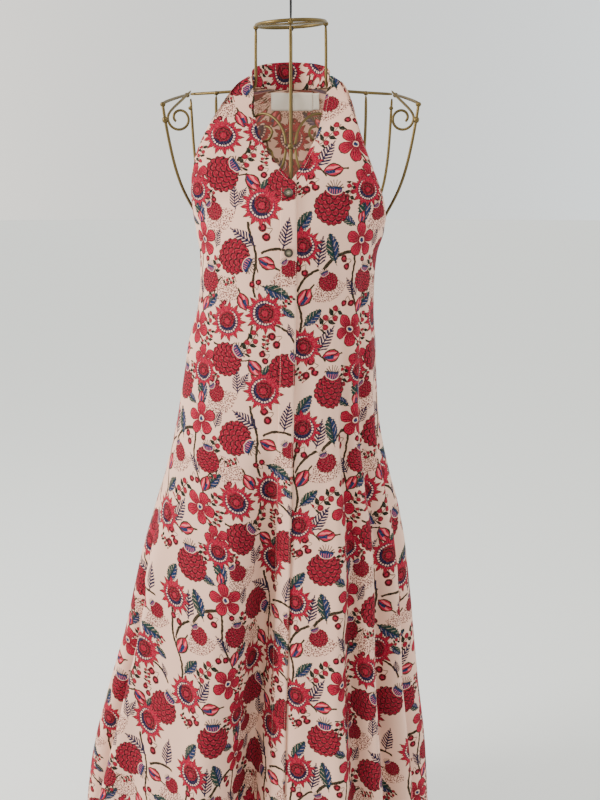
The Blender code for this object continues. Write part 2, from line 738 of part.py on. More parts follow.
def collar(name, place, direction, brass, collection):
    """A small ring bound round a wire."""
    inner, outer, half = FRAME_WIRE + 0.0004, 0.0043, 0.0035
    profile = [(inner, -half), (outer - 0.001, -half), (outer, 0), (outer - 0.001, half), (inner, half)]
    bm = bmesh.new()
    ring = [bm.verts.new((radius, 0, height)) for radius, height in profile]
    edges = [bm.edges.new((a, b)) for a, b in zip(ring, ring[1:] + ring[:1])]
    bmesh.ops.spin(
        bm,
        geom=[*ring, *edges],
        axis=(0, 0, 1),
        cent=(0, 0, 0),
        angle=2 * math.pi,
        steps=14,
        use_merge=True,
    )
    bmesh.ops.recalc_face_normals(bm, faces=bm.faces)
    mesh = bpy.data.meshes.new(name)
    bm.to_mesh(mesh)
    bm.free()
    made = mesh_object(name, mesh, brass, collection)
    made.location = place
    made.rotation_euler = direction.to_track_quat("Z", "Y").to_euler()


def chest_scrolls(collection, brass):
    """Four scrolls that meet at a collar on the front centre wire."""
    for side, sign in (("right", -1), ("left", 1)):
        for level, scroll in (("upper", UPPER_SCROLL), ("lower", LOWER_SCROLL)):
            flat = through([Vector((x, 0, z)) for x, z in scroll], 2)
            points = [Vector((sign * p.x, chest_y(p.x, p.z) + 0.0005, p.z)) for p in flat]
            wire(f"form_{level}_scroll_{side}", points, SCROLL_WIRE, brass, collection)
    place = Vector((0, chest_y(0, COLLAR_Z), COLLAR_Z))
    slope = place - Vector((0, chest_y(0, COLLAR_Z - 0.01), COLLAR_Z - 0.01))
    collar("form_collar", place, slope, brass, collection)


def hook_and_ring(collection, cutters, brass, black):
    """The neck ring with its bar, and the hook whose rod passes through the bar."""
    ring = []
    for i in range(28):
        turn = 2 * math.pi * i / 28
        y = RING_HALF_DEPTH * math.sin(turn)
        x = RING_HALF_WIDTH * math.cos(turn)
        ring.append(Vector((x, y, RING_Z + RING_TILT * y + RING_ROLL * x)))
    wire("form_neck_ring", ring, RING_WIRE, brass, collection, closed=True, sides=8)
    bpy.ops.mesh.primitive_cube_add(size=1)
    bar = bpy.context.object
    bar.name = "form_ring_bar"
    bar.scale = (2 * (RING_HALF_WIDTH - RING_WIRE - 0.0010), BAR_WIDTH, BAR_THICKNESS)
    bar.location = (0, 0, RING_Z)
    bpy.ops.object.transform_apply(location=False, rotation=False, scale=True)
    for owner in list(bar.users_collection):
        owner.objects.unlink(bar)
    collection.objects.link(bar)
    bar.data.materials.append(brass)
    bpy.ops.mesh.primitive_cylinder_add(
        vertices=16, radius=HOOK_WIRE + 0.0004, depth=0.02, location=(0, 0, RING_Z)
    )
    hole = bpy.context.object
    hole.name = "cutter_bar_hole"
    hide_cutter(hole, cutters)
    bar.modifiers.new("hole", "BOOLEAN").object = hole
    bar.rotation_euler = (0, -math.atan(RING_ROLL), 0)
    rod_foot = RING_Z - BAR_THICKNESS / 2 - 0.0015
    crown_z = HOOK_WIRE - HOOK_CROWN
    points = [Vector((0, 0, rod_foot)), Vector((0, 0, -0.085)), Vector((0, 0, -0.056))]
    points += [Vector((0.004, 0, -0.048)), Vector((0.013, 0, -0.041))]
    for i in range(13):
        turn = math.radians(-32 + 217 * i / 12)
        points.append(
            Vector((HOOK_CROWN * math.cos(turn), 0, crown_z + HOOK_CROWN * math.sin(turn)))
        )
    wire("hook", points, HOOK_WIRE, black, collection, sides=8)
    bpy.ops.mesh.primitive_uv_sphere_add(
        segments=12, ring_count=8, radius=0.0038, location=(0, 0, rod_foot - 0.0041)
    )
    nut = bpy.context.object
    nut.name = "hook_nut"
    for owner in list(nut.users_collection):
        owner.objects.unlink(nut)
    collection.objects.link(nut)
    nut.data.materials.append(black)


def main():
    for obj in list(bpy.data.objects):
        bpy.data.objects.remove(obj)
    scene = bpy.context.scene.collection
    parts = bpy.data.collections.new("racerback_maxi_dress")
    cutters = bpy.data.collections.new("cutters")
    scene.children.link(parts)
    scene.children.link(cutters)

    cotton = finish("printed_cotton", (0.80, 0.66, 0.58), 0.85)
    woven = finish("woven_label", (0.86, 0.82, 0.74), 0.75)
    shell = finish("shell_button", (0.09, 0.075, 0.06), 0.35)
    brass = finish("antique_brass", (0.42, 0.33, 0.17), 0.38, 1.0)
    black = finish("black_wire", (0.02, 0.02, 0.02), 0.45, 0.6)

    front, _, backs = dress_panels(parts, cotton)
    neck_band(parts, cotton)
    _, strip = placket(parts, cotton, front)
    buttons(parts, cutters, strip, shell)
    labels(parts, backs, woven)
    hook_and_ring(parts, cutters, brass, black)
    torso_uprights(parts, brass)
    shoulders(parts, brass)
    chest_scrolls(parts, brass)
    for name, (z, half_width, depth_front, depth_back) in HOOPS.items():
        points = hoop_points(z, half_width, depth_front, depth_back)
        wire(f"form_{name}", points, FRAME_WIRE, brass, parts, closed=True)


main()
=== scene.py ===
# %% [markdown]
# A sleeveless maxi dress of block-printed cotton hangs on a wire dress form.
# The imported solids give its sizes: this script loads them first, and every piece that follows is
# made in the same metres, with the inside of the hook's crown at the origin and the front facing -Y.

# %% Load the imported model
import math

import bmesh
import bpy
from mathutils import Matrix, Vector, noise
from mathutils.bvhtree import BVHTree


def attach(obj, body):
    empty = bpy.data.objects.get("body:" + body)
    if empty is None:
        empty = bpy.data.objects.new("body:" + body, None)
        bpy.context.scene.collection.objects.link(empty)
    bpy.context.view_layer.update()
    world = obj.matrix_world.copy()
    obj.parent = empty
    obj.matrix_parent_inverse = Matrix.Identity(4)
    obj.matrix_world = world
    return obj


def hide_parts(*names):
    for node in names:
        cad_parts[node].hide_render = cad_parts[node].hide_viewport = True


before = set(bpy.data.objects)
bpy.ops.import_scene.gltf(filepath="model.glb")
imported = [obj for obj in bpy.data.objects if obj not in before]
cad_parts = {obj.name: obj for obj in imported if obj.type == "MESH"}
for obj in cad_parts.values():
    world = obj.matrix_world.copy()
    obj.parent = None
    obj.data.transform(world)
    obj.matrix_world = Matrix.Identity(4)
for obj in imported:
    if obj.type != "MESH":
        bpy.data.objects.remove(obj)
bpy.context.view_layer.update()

# %% [markdown]
# The photograph was taken from chest height, close to the dress, with the camera tipped down a
# little, so the shoulders look wide and the hem runs out of the bottom of the picture.
# A camera can be matched by eye or worked out from known sizes. Here it was worked out from the
# form's neck ring and shoulder bars, which gives a 36 mm lens 1.3 m from the hook.

# %% Camera
lens = bpy.data.cameras.new("camera")
lens.lens = 36
lens.sensor_width = 36
lens.sensor_fit = "AUTO"
camera = bpy.data.objects.new("camera", lens)
camera.location = (0.0137, -1.29, -0.375)
camera.rotation_euler = (math.radians(76), 0, 0)
bpy.context.scene.collection.objects.link(camera)
bpy.context.scene.camera = camera
print("camera", tuple(round(v, 3) for v in camera.location))

# %% [markdown]
# A plain pale floor under the dress and a sky of nearly the same tone stand in for a studio.
# A wall would hide the dress from behind, so there is none: the floor is simply very wide, and its
# edge meets the sky far away. The sky is brightest to the left and right, like a room with two
# windows, and dim behind the camera, so that hollows between folds stay dark.


# %% Floor and sky
SKY_FRONT, SKY_BACK, SKY_SIDES = 0.10, 1.18, 1.75
FLOOR_Z = -1.72


def choose(*pieces):
    """Selects these pieces alone, and makes the first one active."""
    bpy.ops.object.select_all(action="DESELECT")
    for piece in pieces:
        piece.select_set(True)
    bpy.context.view_layer.objects.active = pieces[0]


def new_material(name):
    material = bpy.data.materials.new(name)
    material.use_nodes = True
    return material, material.node_tree, material.node_tree.nodes["Principled BSDF"]


bpy.ops.object.select_all(action="DESELECT")
bpy.ops.mesh.primitive_circle_add(vertices=96, radius=60, fill_type="NGON", location=(0, 0, FLOOR_Z))
floor = bpy.context.object
floor.name = "studio_floor"
paint, _, floor_shader = new_material("pale_floor")
floor_shader.inputs["Base Color"].default_value = (0.86, 0.87, 0.84, 1)
floor_shader.inputs["Roughness"].default_value = 0.9
floor.data.materials.append(paint)
sky = bpy.data.worlds.new("studio_sky")
sky.use_nodes = True
sky_tree = sky.node_tree
way = sky_tree.nodes.new("ShaderNodeTexCoord")
parts = sky_tree.nodes.new("ShaderNodeSeparateXYZ")
sky_tree.links.new(way.outputs["Generated"], parts.inputs[0])
sideways = sky_tree.nodes.new("ShaderNodeMath")
sideways.operation = "POWER"
sideways.inputs[1].default_value = 2
sky_tree.links.new(parts.outputs["X"], sideways.inputs[0])
front = sky_tree.nodes.new("ShaderNodeMapRange")
front.inputs["From Min"].default_value = -0.95
front.inputs["From Max"].default_value = -0.10
front.inputs["To Min"].default_value = SKY_FRONT
front.inputs["To Max"].default_value = SKY_BACK
sky_tree.links.new(parts.outputs["Y"], front.inputs["Value"])
strength = sky_tree.nodes.new("ShaderNodeMath")
strength.operation = "MULTIPLY_ADD"
strength.inputs[1].default_value = SKY_SIDES
sky_tree.links.new(sideways.outputs[0], strength.inputs[0])
sky_tree.links.new(front.outputs["Result"], strength.inputs[2])
halfway = sky_tree.nodes.new("ShaderNodeMath")
halfway.operation = "MULTIPLY_ADD"
halfway.inputs[1].default_value = 1.2
halfway.inputs[2].default_value = 0.5
halfway.use_clamp = True
sky_tree.links.new(parts.outputs["X"], halfway.inputs[0])
tint = sky_tree.nodes.new("ShaderNodeMix")
tint.data_type = "RGBA"
tint.inputs[6].default_value = (1.0, 0.965, 0.89, 1)
tint.inputs[7].default_value = (0.93, 0.985, 1.0, 1)
sky_tree.links.new(halfway.outputs[0], tint.inputs["Factor"])
background = sky_tree.nodes["Background"]
sky_tree.links.new(tint.outputs[2], background.inputs["Color"])
sky_tree.links.new(strength.outputs[0], background.inputs["Strength"])
bpy.context.scene.world = sky
print("sky: front", SKY_FRONT, "behind", SKY_BACK, "sides", SKY_SIDES)

# %% [markdown]
# The light in the photograph is soft daylight from the left and in front, a bit above the
# shoulders, so the folds are shaded on their right. A lamp 0.8 m wide does this, a weak one on the
# right keeps the far side open, and a small one in front lights the label and the inside of the
# neck. A small window lamp would draw hard shadows of every wire.


# %% Lamps
def soft_lamp(name, place, aim, size, power, colour):
    data = bpy.data.lights.new(name, "AREA")
    data.shape = "RECTANGLE"
    data.size = size
    data.size_y = size * 1.3
    data.energy = power
    data.color = colour
    lamp = bpy.data.objects.new(name, data)
    lamp.location = place
    lamp.rotation_euler = (Vector(aim) - Vector(place)).to_track_quat("-Z", "Y").to_euler()
    bpy.context.scene.collection.objects.link(lamp)


soft_lamp("window_light", (-2.6, -0.90, 0.5), (0, 0, -0.8), 0.8, 100, (1.0, 0.985, 0.96))
soft_lamp("fill_light", (2.2, -1.9, -0.1), (0, 0, -0.8), 1.8, 5, (0.94, 0.97, 1.0))
soft_lamp("neck_light", (0.1, -1.1, 0.5), (0.0, 0.02, -0.25), 0.3, 6.5, (1.0, 0.94, 0.84))
print("three lamps and a pale sky")

# %% [markdown]
# The cloth. Worn cloth is a thin sheet whose shape comes from the body and from gravity, so it is
# made here as a net of points. The dress could also be simulated, but a simulation would not stop
# at the folds of this one dress. Instead, tables say where each panel's edges run, from the
# shoulder to the hem, and a rounded curve joins the edges. Smooth numbers between the rows give a
# net as fine as is wanted. The solids were made from the same tables, but for a few top rows.

# %% The dress below the underarm
CLOTH = 0.0011  # thickness of the cotton
HEM_Z = -1.565
LAP = 0.024  # width of the front overlap
V_ROW = 9  # the front tables' row at the bottom of the neckline
TOP_ROWS = 10


def table(names, rows):
    """The rows' numbers as one list for each named column."""
    return {name: [row[i] for row in rows] for i, name in enumerate(names.split())}


def at(columns, name, station):
    """A column's value at a row number, with a smooth curve through the rows."""
    values = columns[name]
    last = len(values) - 1
    i = max(0, min(last - 1, int(math.floor(station))))
    t = station - i
    a, b = values[i], values[i + 1]
    before = a - values[i - 1] if i > 0 else b - a
    after = values[i + 2] - b if i + 2 <= last else b - a
    step = b - a
    enter = 0.0 if before * step <= 0 else 2 * before * step / (before + step)
    leave = 0.0 if after * step <= 0 else 2 * after * step / (after + step)
    h = t * t * (3 - 2 * t)
    return a + h * step + (t * (1 - t) ** 2) * enter - (t * t * (1 - t)) * leave


def smoothstep(edge_a, edge_b, value):
    t = max(0.0, min(1.0, (value - edge_a) / (edge_b - edge_a)))
    return t * t * (3 - 2 * t)


BODY = table(
    "z left right front back lap",
    [
        (-0.4200, -0.1490, 0.1460, -0.1125, 0.0950, 0.0092),
        (-0.4720, -0.1440, 0.1335, -0.1080, 0.0890, 0.0090),
        (-0.5300, -0.1490, 0.1320, -0.1030, 0.0860, 0.0084),
        (-0.6000, -0.1680, 0.1365, -0.1075, 0.0960, 0.0068),
        (-0.7000, -0.1850, 0.1420, -0.1230, 0.1140, 0.0045),
        (-0.8000, -0.2085, 0.1600, -0.1410, 0.1330, 0.0020),
        (-0.9000, -0.2405, 0.1850, -0.1580, 0.1500, -0.0010),
        (-1.0000, -0.2685, 0.2000, -0.1740, 0.1660, -0.0035),
        (-1.1000, -0.2930, 0.2115, -0.1890, 0.1810, -0.0065),
        (-1.2000, -0.3215, 0.2235, -0.2030, 0.1950, -0.0090),
        (-1.3000, -0.3500, 0.2370, -0.2160, 0.2080, -0.0115),
        (-1.4000, -0.3695, 0.2450, -0.2280, 0.2200, -0.0135),
        (-1.5000, -0.3830, 0.2515, -0.2390, 0.2310, -0.0155),
        (HEM_Z, -0.3915, 0.2560, -0.2460, 0.2380, -0.0165),
    ],
)
print("hem about", round(BODY["right"][-1] - BODY["left"][-1], 3), "m wide")

# %% [markdown]
# Above the underarm each front narrows to a strap about 16 mm wide. Its inner edge runs down to
# the V of the neck, its outer edge round the armhole. The back is cut away behind the arms to a
# strip in the middle, which is what makes it a racerback.

# %% The dress above the underarm
TOP_COLUMNS = "x_in y_in z_in x_out y_out z_out round bulge"
RIGHT_TOP = [
    (-0.0595, 0.0000, -0.1925, -0.0760, 0.0000, -0.2010, 2.0, 0.0),
    (-0.0594, -0.0045, -0.1928, -0.0768, -0.0050, -0.2015, 2.0, 0.0),
    (-0.0570, -0.0130, -0.2090, -0.0885, -0.0165, -0.2150, 2.0, 0.001),
    (-0.0540, -0.0260, -0.2300, -0.1005, -0.0310, -0.2350, 2.0, 0.003),
    (-0.0528, -0.0410, -0.2530, -0.1145, -0.0430, -0.2570, 2.0, 0.006),
    (-0.0480, -0.0545, -0.2760, -0.1290, -0.0500, -0.2830, 2.0, 0.009),
    (-0.0370, -0.0675, -0.2990, -0.1410, -0.0510, -0.3110, 2.0, 0.009),
    (-0.0215, -0.0795, -0.3210, -0.1485, -0.0460, -0.3420, 2.1, 0.006),
    (-0.0050, -0.0885, -0.3400, -0.1510, -0.0340, -0.3730, 2.2, 0.002),
    (0.0092, -0.0955, -0.3560, -0.1505, -0.0170, -0.3990, 2.2, 0.0),
]
LEFT_TOP = [
    (0.0595, 0.0000, -0.1925, 0.0745, 0.0000, -0.2010, 2.0, 0.0),
    (0.0594, -0.0045, -0.1928, 0.0751, -0.0050, -0.2015, 2.0, 0.0),
    (0.0555, -0.0130, -0.2095, 0.0835, -0.0170, -0.2150, 2.0, 0.001),
    (0.0500, -0.0270, -0.2320, 0.0910, -0.0320, -0.2360, 2.0, 0.003),
    (0.0455, -0.0430, -0.2560, 0.0975, -0.0470, -0.2620, 2.0, 0.006),
    (0.0375, -0.0580, -0.2830, 0.1070, -0.0570, -0.2920, 2.0, 0.009),
    (0.0260, -0.0710, -0.3060, 0.1185, -0.0600, -0.3220, 2.0, 0.008),
    (0.0145, -0.0820, -0.3280, 0.1310, -0.0580, -0.3520, 2.1, 0.005),
    (0.0015, -0.0905, -0.3460, 0.1410, -0.0450, -0.3800, 2.2, 0.002),
    (-0.0148, -0.0980, -0.3620, 0.1455, -0.0220, -0.4040, 2.2, 0.0),
]
# On the back, x_out is a share of the underarm's half width.
BACK_TOP = [
    (0.0595, 0.0000, -0.1925, 0.510, 0.0000, -0.2010, 2.0, 0.0),
    (0.0594, 0.0045, -0.1928, 0.514, 0.0050, -0.2015, 2.0, 0.0),
    (0.0550, 0.0180, -0.2030, 0.515, 0.0200, -0.2160, 2.0, 0.001),
    (0.0430, 0.0340, -0.2058, 0.490, 0.0400, -0.2370, 2.0, 0.002),
    (0.0240, 0.0460, -0.2063, 0.455, 0.0560, -0.2620, 2.0, 0.003),
    (0.0000, 0.0500, -0.2065, 0.430, 0.0670, -0.2920, 2.1, 0.003),
    (0.0000, 0.0605, -0.2450, 0.465, 0.0730, -0.3220, 2.2, 0.003),
    (0.0000, 0.0720, -0.2850, 0.585, 0.0725, -0.3520, 2.2, 0.003),
    (0.0000, 0.0820, -0.3250, 0.765, 0.0620, -0.3800, 2.2, 0.002),
    (0.0000, 0.0900, -0.3700, 0.930, 0.0360, -0.4040, 2.2, 0.0),
]
print("straps", round(RIGHT_TOP[0][0] - RIGHT_TOP[0][3], 4), "m wide at the shoulder")

# %% [markdown]
# Folds. Cloth that hangs from the bust falls in soft ridges and troughs that grow towards the hem.
# Each is a line in a table: where it starts and ends across the panel, where it begins, how high
# it stands and how wide it is. A trough down the centre front, a deep groove near each side and a
# group of narrow folds on the left front follow the photograph. The back, which it doesn't show,
# gets similar ones.

# %% Folds
# across at the top, across at the hem, z where it starts, z where it is full, height, width
RIGHT_FOLDS = [
    (0.088, 0.102, -0.70, -1.25, -0.052, 0.050),
    (0.22, 0.24, -0.75, -1.35, 0.015, 0.070),
    (0.48, 0.48, -0.90, -1.45, -0.008, 0.080),
    (0.65, 0.64, -0.78, -1.30, 0.018, 0.070),
    (0.80, 0.765, -0.85, -1.25, -0.036, 0.042),
    (0.92, 0.900, -0.90, -1.30, 0.005, 0.060),
]
LEFT_FOLDS = [
    (0.16, 0.12, -0.75, -1.40, -0.010, 0.060),
    (0.36, 0.24, -0.45, -1.15, 0.012, 0.050),
    (0.45, 0.325, -0.42, -1.10, -0.018, 0.038),
    (0.55, 0.40, -0.42, -1.10, 0.015, 0.042),
    (0.64, 0.48, -0.45, -1.15, -0.020, 0.038),
    (0.74, 0.57, -0.50, -1.15, 0.016, 0.048),
    (0.85, 0.69, -0.60, -1.20, -0.018, 0.048),
    (0.93, 0.83, -0.70, -1.20, 0.005, 0.055),
]
BACK_FOLDS = [
    (0.05, 0.10, -0.60, -1.30, 0.018, 0.090),
    (0.28, 0.30, -0.55, -1.30, -0.026, 0.090),
    (0.52, 0.54, -0.62, -1.30, 0.022, 0.095),
    (0.76, 0.76, -0.70, -1.30, -0.022, 0.070),
]
# Creases: x and z at both ends, height, width. The first two deepen the trough at the centre, the
# third the groove at the side, and the rest are small. The fronts share one list, so that it moves
# them alike where they overlap.
FRONT_CREASES = [
    (-0.034, -0.780, -0.097, -1.520, -0.030, 0.026),
    (-0.014, -0.860, -0.040, -1.520, -0.028, 0.030),
    (-0.246, -1.000, -0.352, -1.440, -0.020, 0.014),
    (-0.112, -0.438, -0.088, -0.452, -0.0016, 0.0040),
    (-0.120, -0.450, -0.092, -0.462, 0.0014, 0.0045),
    (-0.118, -0.464, -0.097, -0.470, -0.0012, 0.0040),
    (-0.098, -0.384, -0.062, -0.388, -0.0007, 0.0018),
    (-0.058, -0.384, -0.052, -0.430, -0.0006, 0.0018),
    (-0.113, -0.418, -0.124, -0.480, -0.0018, 0.0035),
    (-0.128, -0.540, -0.070, -0.560, 0.0018, 0.0090),
    (-0.140, -0.580, -0.080, -0.596, -0.0016, 0.0085),
    (-0.060, -0.620, -0.020, -0.700, 0.0016, 0.0100),
    (-0.020, -0.480, -0.012, -0.560, -0.0012, 0.0060),
    (-0.150, -0.700, -0.120, -0.900, 0.0030, 0.0160),
    (-0.090, -0.820, -0.110, -1.050, -0.0028, 0.0150),
    (-0.220, -1.150, -0.250, -1.400, 0.0035, 0.0170),
    (-0.130, -1.200, -0.140, -1.450, 0.0030, 0.0180),
    (0.060, -0.395, 0.088, -0.404, 0.0009, 0.0035),
    (0.050, -0.470, 0.100, -0.492, 0.0016, 0.0070),
    (0.040, -0.520, 0.105, -0.530, -0.0016, 0.0065),
    (0.070, -0.545, 0.118, -0.566, 0.0015, 0.0065),
    (0.024, -0.420, 0.030, -0.500, -0.0008, 0.0040),
    (0.040, -0.600, 0.052, -0.760, 0.0022, 0.0100),
    (0.020, -0.780, 0.030, -0.980, -0.0026, 0.0130),
    (0.110, -0.980, 0.130, -1.250, 0.0026, 0.0120),
]
BACK_CREASES = [
    (-0.100, -0.450, -0.030, -0.470, 0.0018, 0.0080),
    (0.020, -0.480, 0.100, -0.465, -0.0018, 0.0080),
    (-0.080, -0.520, 0.010, -0.536, 0.0018, 0.0090),
    (0.030, -0.560, 0.110, -0.540, 0.0016, 0.0080),
    (-0.060, -0.640, -0.090, -0.860, -0.0028, 0.0140),
    (0.040, -0.680, 0.060, -0.900, 0.0028, 0.0150),
    (0.120, -0.900, 0.150, -1.200, -0.0030, 0.0160),
    (-0.180, -0.950, -0.220, -1.250, 0.0034, 0.0170),
]


def crease_height(creases, x, z):
    """How far creases and the slight unevenness of soft cotton move the cloth at a place."""
    total = 0.0
    for x_a, z_a, x_b, z_b, height, width in creases:
        if min(z_a, z_b) - 3 * width < z < max(z_a, z_b) + 3 * width:
            run = Vector((x_b - x_a, z_b - z_a))
            share = max(0.0, min(1.0, Vector((x - x_a, z - z_a)).dot(run) / run.length_squared))
            away = Vector((x - x_a - share * run.x, z - z_a - share * run.y)).length
            ends = 0.35 + 0.65 * math.sin(math.pi * share)
            total += height * ends * math.exp(-((away / width) ** 2))
    wide = noise.noise(Vector((x * 11, z * 6, 1.7)))
    fine = noise.noise(Vector((x * 38, z * 22, 4.1)))
    return total + 0.0011 * wide + 0.0004 * fine


def fold_height(folds, across, z, centre_fade):
    """How far the folds push the cloth out; nothing at the seams, so that panels still meet."""
    total = 0.0
    for top, low, start, full, height, width in folds:
        grown = max(0.0, (start - z) / (start - full))
        middle = top + (low - top) * min(1.0, grown)
        total += height * min(1.15, grown) * math.exp(-(((across - middle) / width) ** 2))
    if centre_fade:
        total *= smoothstep(0.0, centre_fade, across)
    return total * smoothstep(0.0, 0.07, 1 - across)


print(len(RIGHT_FOLDS) + len(LEFT_FOLDS) + 2 * len(BACK_FOLDS), "folds and",
      len(FRONT_CREASES) + len(BACK_CREASES), "creases")

# %% [markdown]
# The net itself. A row of points runs from the middle edge of a half panel out to its side seam.
# The rounded curve is a superellipse: with a power of 2 it is a plain ellipse, and a bit more
# makes it squarer, as cloth is where it hangs from a bust. The folds then push each point along
# its row's outward direction.

# %% Rows of points
TOP_STEPS = 8  # rows of points for each row of the tables, above the underarm
LOW_STEPS = 13
LAP_COLUMNS = 6
FRONT_COLUMNS, BACK_COLUMNS = 78, 56
LOW_ROWS = 18
SKIRT_ROUND = 2.25  # the power of the rounded curve below the underarm
STATIONS = [i / TOP_STEPS for i in range(TOP_ROWS * TOP_STEPS)]
STATIONS += [TOP_ROWS + i / LOW_STEPS for i in range(LOW_ROWS * LOW_STEPS + 1)]


def lower_sections(side, depth, centre):
    """Rows from the underarm to the hem, with x at the panel's middle edge from centre."""
    rows = []
    last = len(BODY["z"]) - 1
    for i in range(LOW_ROWS + 1):
        station = last * i / LOW_ROWS
        z = at(BODY, "z", station)
        inner, outer = (centre(station), at(BODY, depth, station), z), (at(BODY, side, station), 0, z)
        rows.append((*inner, *outer, SKIRT_ROUND, 0.0))
    return rows


def half_panel(top, lower, folds, creases, columns, centre_fade=0.09):
    """Rows of points of a half panel's outer side."""
    sections = table(TOP_COLUMNS, top + lower)
    rows = []
    for station in STATIONS:
        value = {name: at(sections, name, station) for name in sections}
        power = 2 / value["round"]
        forward = math.copysign(1.0, value["y_in"] - value["y_out"])
        if abs(value["y_in"]) < 0.09 and station < TOP_ROWS:
            forward = math.copysign(1.0, value["y_in"] or lower[0][1])
        wide = abs(value["x_out"] - value["x_in"])
        strip = min(LAP, 0.16 * wide) / wide
        shares = [
            math.asin((strip * k / LAP_COLUMNS) ** (1 / power)) / (math.pi / 2)
            for k in range(LAP_COLUMNS)
        ]
        edge = math.asin(strip ** (1 / power)) / (math.pi / 2)
        shares += [edge + (1 - edge) * k / columns for k in range(columns + 1)]
        points = []
        for across in shares:
            turn = across * math.pi / 2
            sideways = math.sin(turn) ** power
            depth = math.cos(turn) ** power if across < 1 else 0.0
            bulge = forward * value["bulge"] * math.sin(across * math.pi)
            points.append(
                Vector(
                    (
                        value["x_in"] + (value["x_out"] - value["x_in"]) * sideways,
                        value["y_out"] + (value["y_in"] - value["y_out"]) * depth + bulge,
                        value["z_in"] + (value["z_out"] - value["z_in"]) * sideways**1.5,
                    )
                )
            )
        rows.append(folded(points, shares, folds, creases, centre_fade))
    return rows


def folded(points, shares, folds, creases, centre_fade):
    """A row of points moved along its own outward direction by the folds and creases."""
    last = len(points) - 1
    middle = Vector((0.5 * (points[0].x + points[-1].x) * 0.3, 0.0))
    moved = []
    for i, point in enumerate(points):
        along = points[min(i + 1, last)] - points[max(i - 1, 0)]
        out = Vector((along.y, -along.x))
        if out.length > 0:
            out.normalize()
        if out.dot(Vector((point.x, point.y)) - middle) < 0:
            out = -out
        push = fold_height(folds, shares[i], point.z, centre_fade)
        fade = smoothstep(0.0, 0.05, 1 - shares[i]) * smoothstep(-0.19, -0.26, point.z)
        push += crease_height(creases, point.x, point.z) * fade
        moved.append(point + Vector((out.x, out.y, 0)) * push)
    return moved


def surface_of(rows_list):
    """A search tree of one or more nets of points."""
    points, faces = [], []
    for rows in rows_list:
        base, width = len(points), len(rows[0])
        points += [p for row in rows for p in row]
        for i in range(len(rows) - 1):
            for j in range(width - 1):
                a = base + i * width + j
                faces.append((a, a + 1, a + width + 1, a + width))
    return BVHTree.FromPolygons(points, faces)


def straight_back(tree, x, z, start=-1.0):
    """Where a ray from in front meets a net, and the net's normal there, turned to the front."""
    hit, normal, _, _ = tree.ray_cast(Vector((x, start, z)), Vector((0, 1, 0)))
    return hit, -normal if hit is not None and normal.y >= 0 else normal


right_rows = half_panel(
    RIGHT_TOP,
    lower_sections("left", "front", lambda s: at(BODY, "lap", s)),
    RIGHT_FOLDS,
    FRONT_CREASES,
    FRONT_COLUMNS,
    centre_fade=0,
)
print("right front:", len(right_rows), "rows of", len(right_rows[0]), "points")

# %% [markdown]
# The left front lies under the right one along the overlap. Its first columns are laid just
# behind the right front, found by casting a ray back from the camera's side, and the step is
# eased out over the next 60 mm of cloth.

# %% Left front, tucked under the overlap
UNDER = 0.0025  # from the outside of the upper front to the outside of the lower one
EASED_OVER = 0.060


def tucked_under(rows, over):
    tree = surface_of([over])
    first_row = V_ROW * TOP_STEPS
    first_step = None
    for row in rows[first_row:]:
        step = 0.0
        for k in range(LAP_COLUMNS + 1):
            hit, normal = straight_back(tree, row[k].x, row[k].z)
            if hit is None:
                continue
            depth = hit.y + UNDER / abs(normal.y)
            step = depth - row[k].y
            row[k] = Vector((row[k].x, depth, row[k].z))
        if first_step is None:
            first_step = step
        edge = row[LAP_COLUMNS].x
        for point in row[LAP_COLUMNS + 1 :]:
            point.y += step * (1 - smoothstep(0.0, EASED_OVER, point.x - edge))
    for i in range(first_row):
        share = 1.3 * smoothstep(V_ROW - 4, V_ROW - 0.6, STATIONS[i])
        edge = rows[i][0].x
        for point in rows[i]:
            point.y += share * first_step * (1 - smoothstep(0.0, EASED_OVER, point.x - edge))


left_rows = half_panel(
    LEFT_TOP,
    lower_sections("right", "front", lambda s: at(BODY, "lap", s) - LAP),
    LEFT_FOLDS,
    FRONT_CREASES,
    FRONT_COLUMNS,
)
tucked_under(left_rows, right_rows)
back_halves = []
for side in ("left", "right"):
    half = BODY[side][0]
    sign = math.copysign(1.0, half)
    top = [(sign * row[0], row[1], row[2], row[3] * half, *row[4:]) for row in BACK_TOP]
    lower = lower_sections(
        side,
        "back",
        lambda s: 0.3 * (at(BODY, "left", s) + at(BODY, "right", s)) * smoothstep(0, 4, s),
    )
    back_halves.append(half_panel(top, lower, BACK_FOLDS, BACK_CREASES, BACK_COLUMNS))
print("left front and two halves of the back")

# %% [markdown]
# Edges. Along the armholes and the neck the cotton is turned in twice and stitched, so the last
# 6 mm are thicker and end in a small step. Moving the nets' own points out by half a millimetre
# there is enough. A separate binding would be another piece to keep in line with the cloth.

# %% Turned edges
TURNED = 0.0065  # width of a turned edge


def outward(row, k):
    """The level direction out of the cloth at a point of a row."""
    along = row[min(k + 1, len(row) - 1)] - row[max(k - 1, 0)]
    out = Vector((along.y, -along.x, 0)).normalized()
    return -out if out.dot(Vector((row[k].x * 0.6, row[k].y, 0))) < 0 else out


def turn_edge(rows, first, last, outer_end, height=0.0006):
    """Raises the strip next to one end of the rows, between two row numbers."""
    for row in rows[first:last]:
        order = range(len(row) - 1, -1, -1) if outer_end else range(len(row))
        away = 0.0
        before = row[order[0]].copy()
        for k in order:
            away += (row[k] - before).length
            before = row[k].copy()
            if away > TURNED + 0.004:
                break
            out = outward(row, k)
            raised = height * (1 - smoothstep(TURNED - 0.0008, TURNED + 0.0012, away))
            groove = 0.0004 * math.exp(-(((away - TURNED + 0.0012) / 0.0008) ** 2))
            row[k] = row[k] + out * (raised - groove)


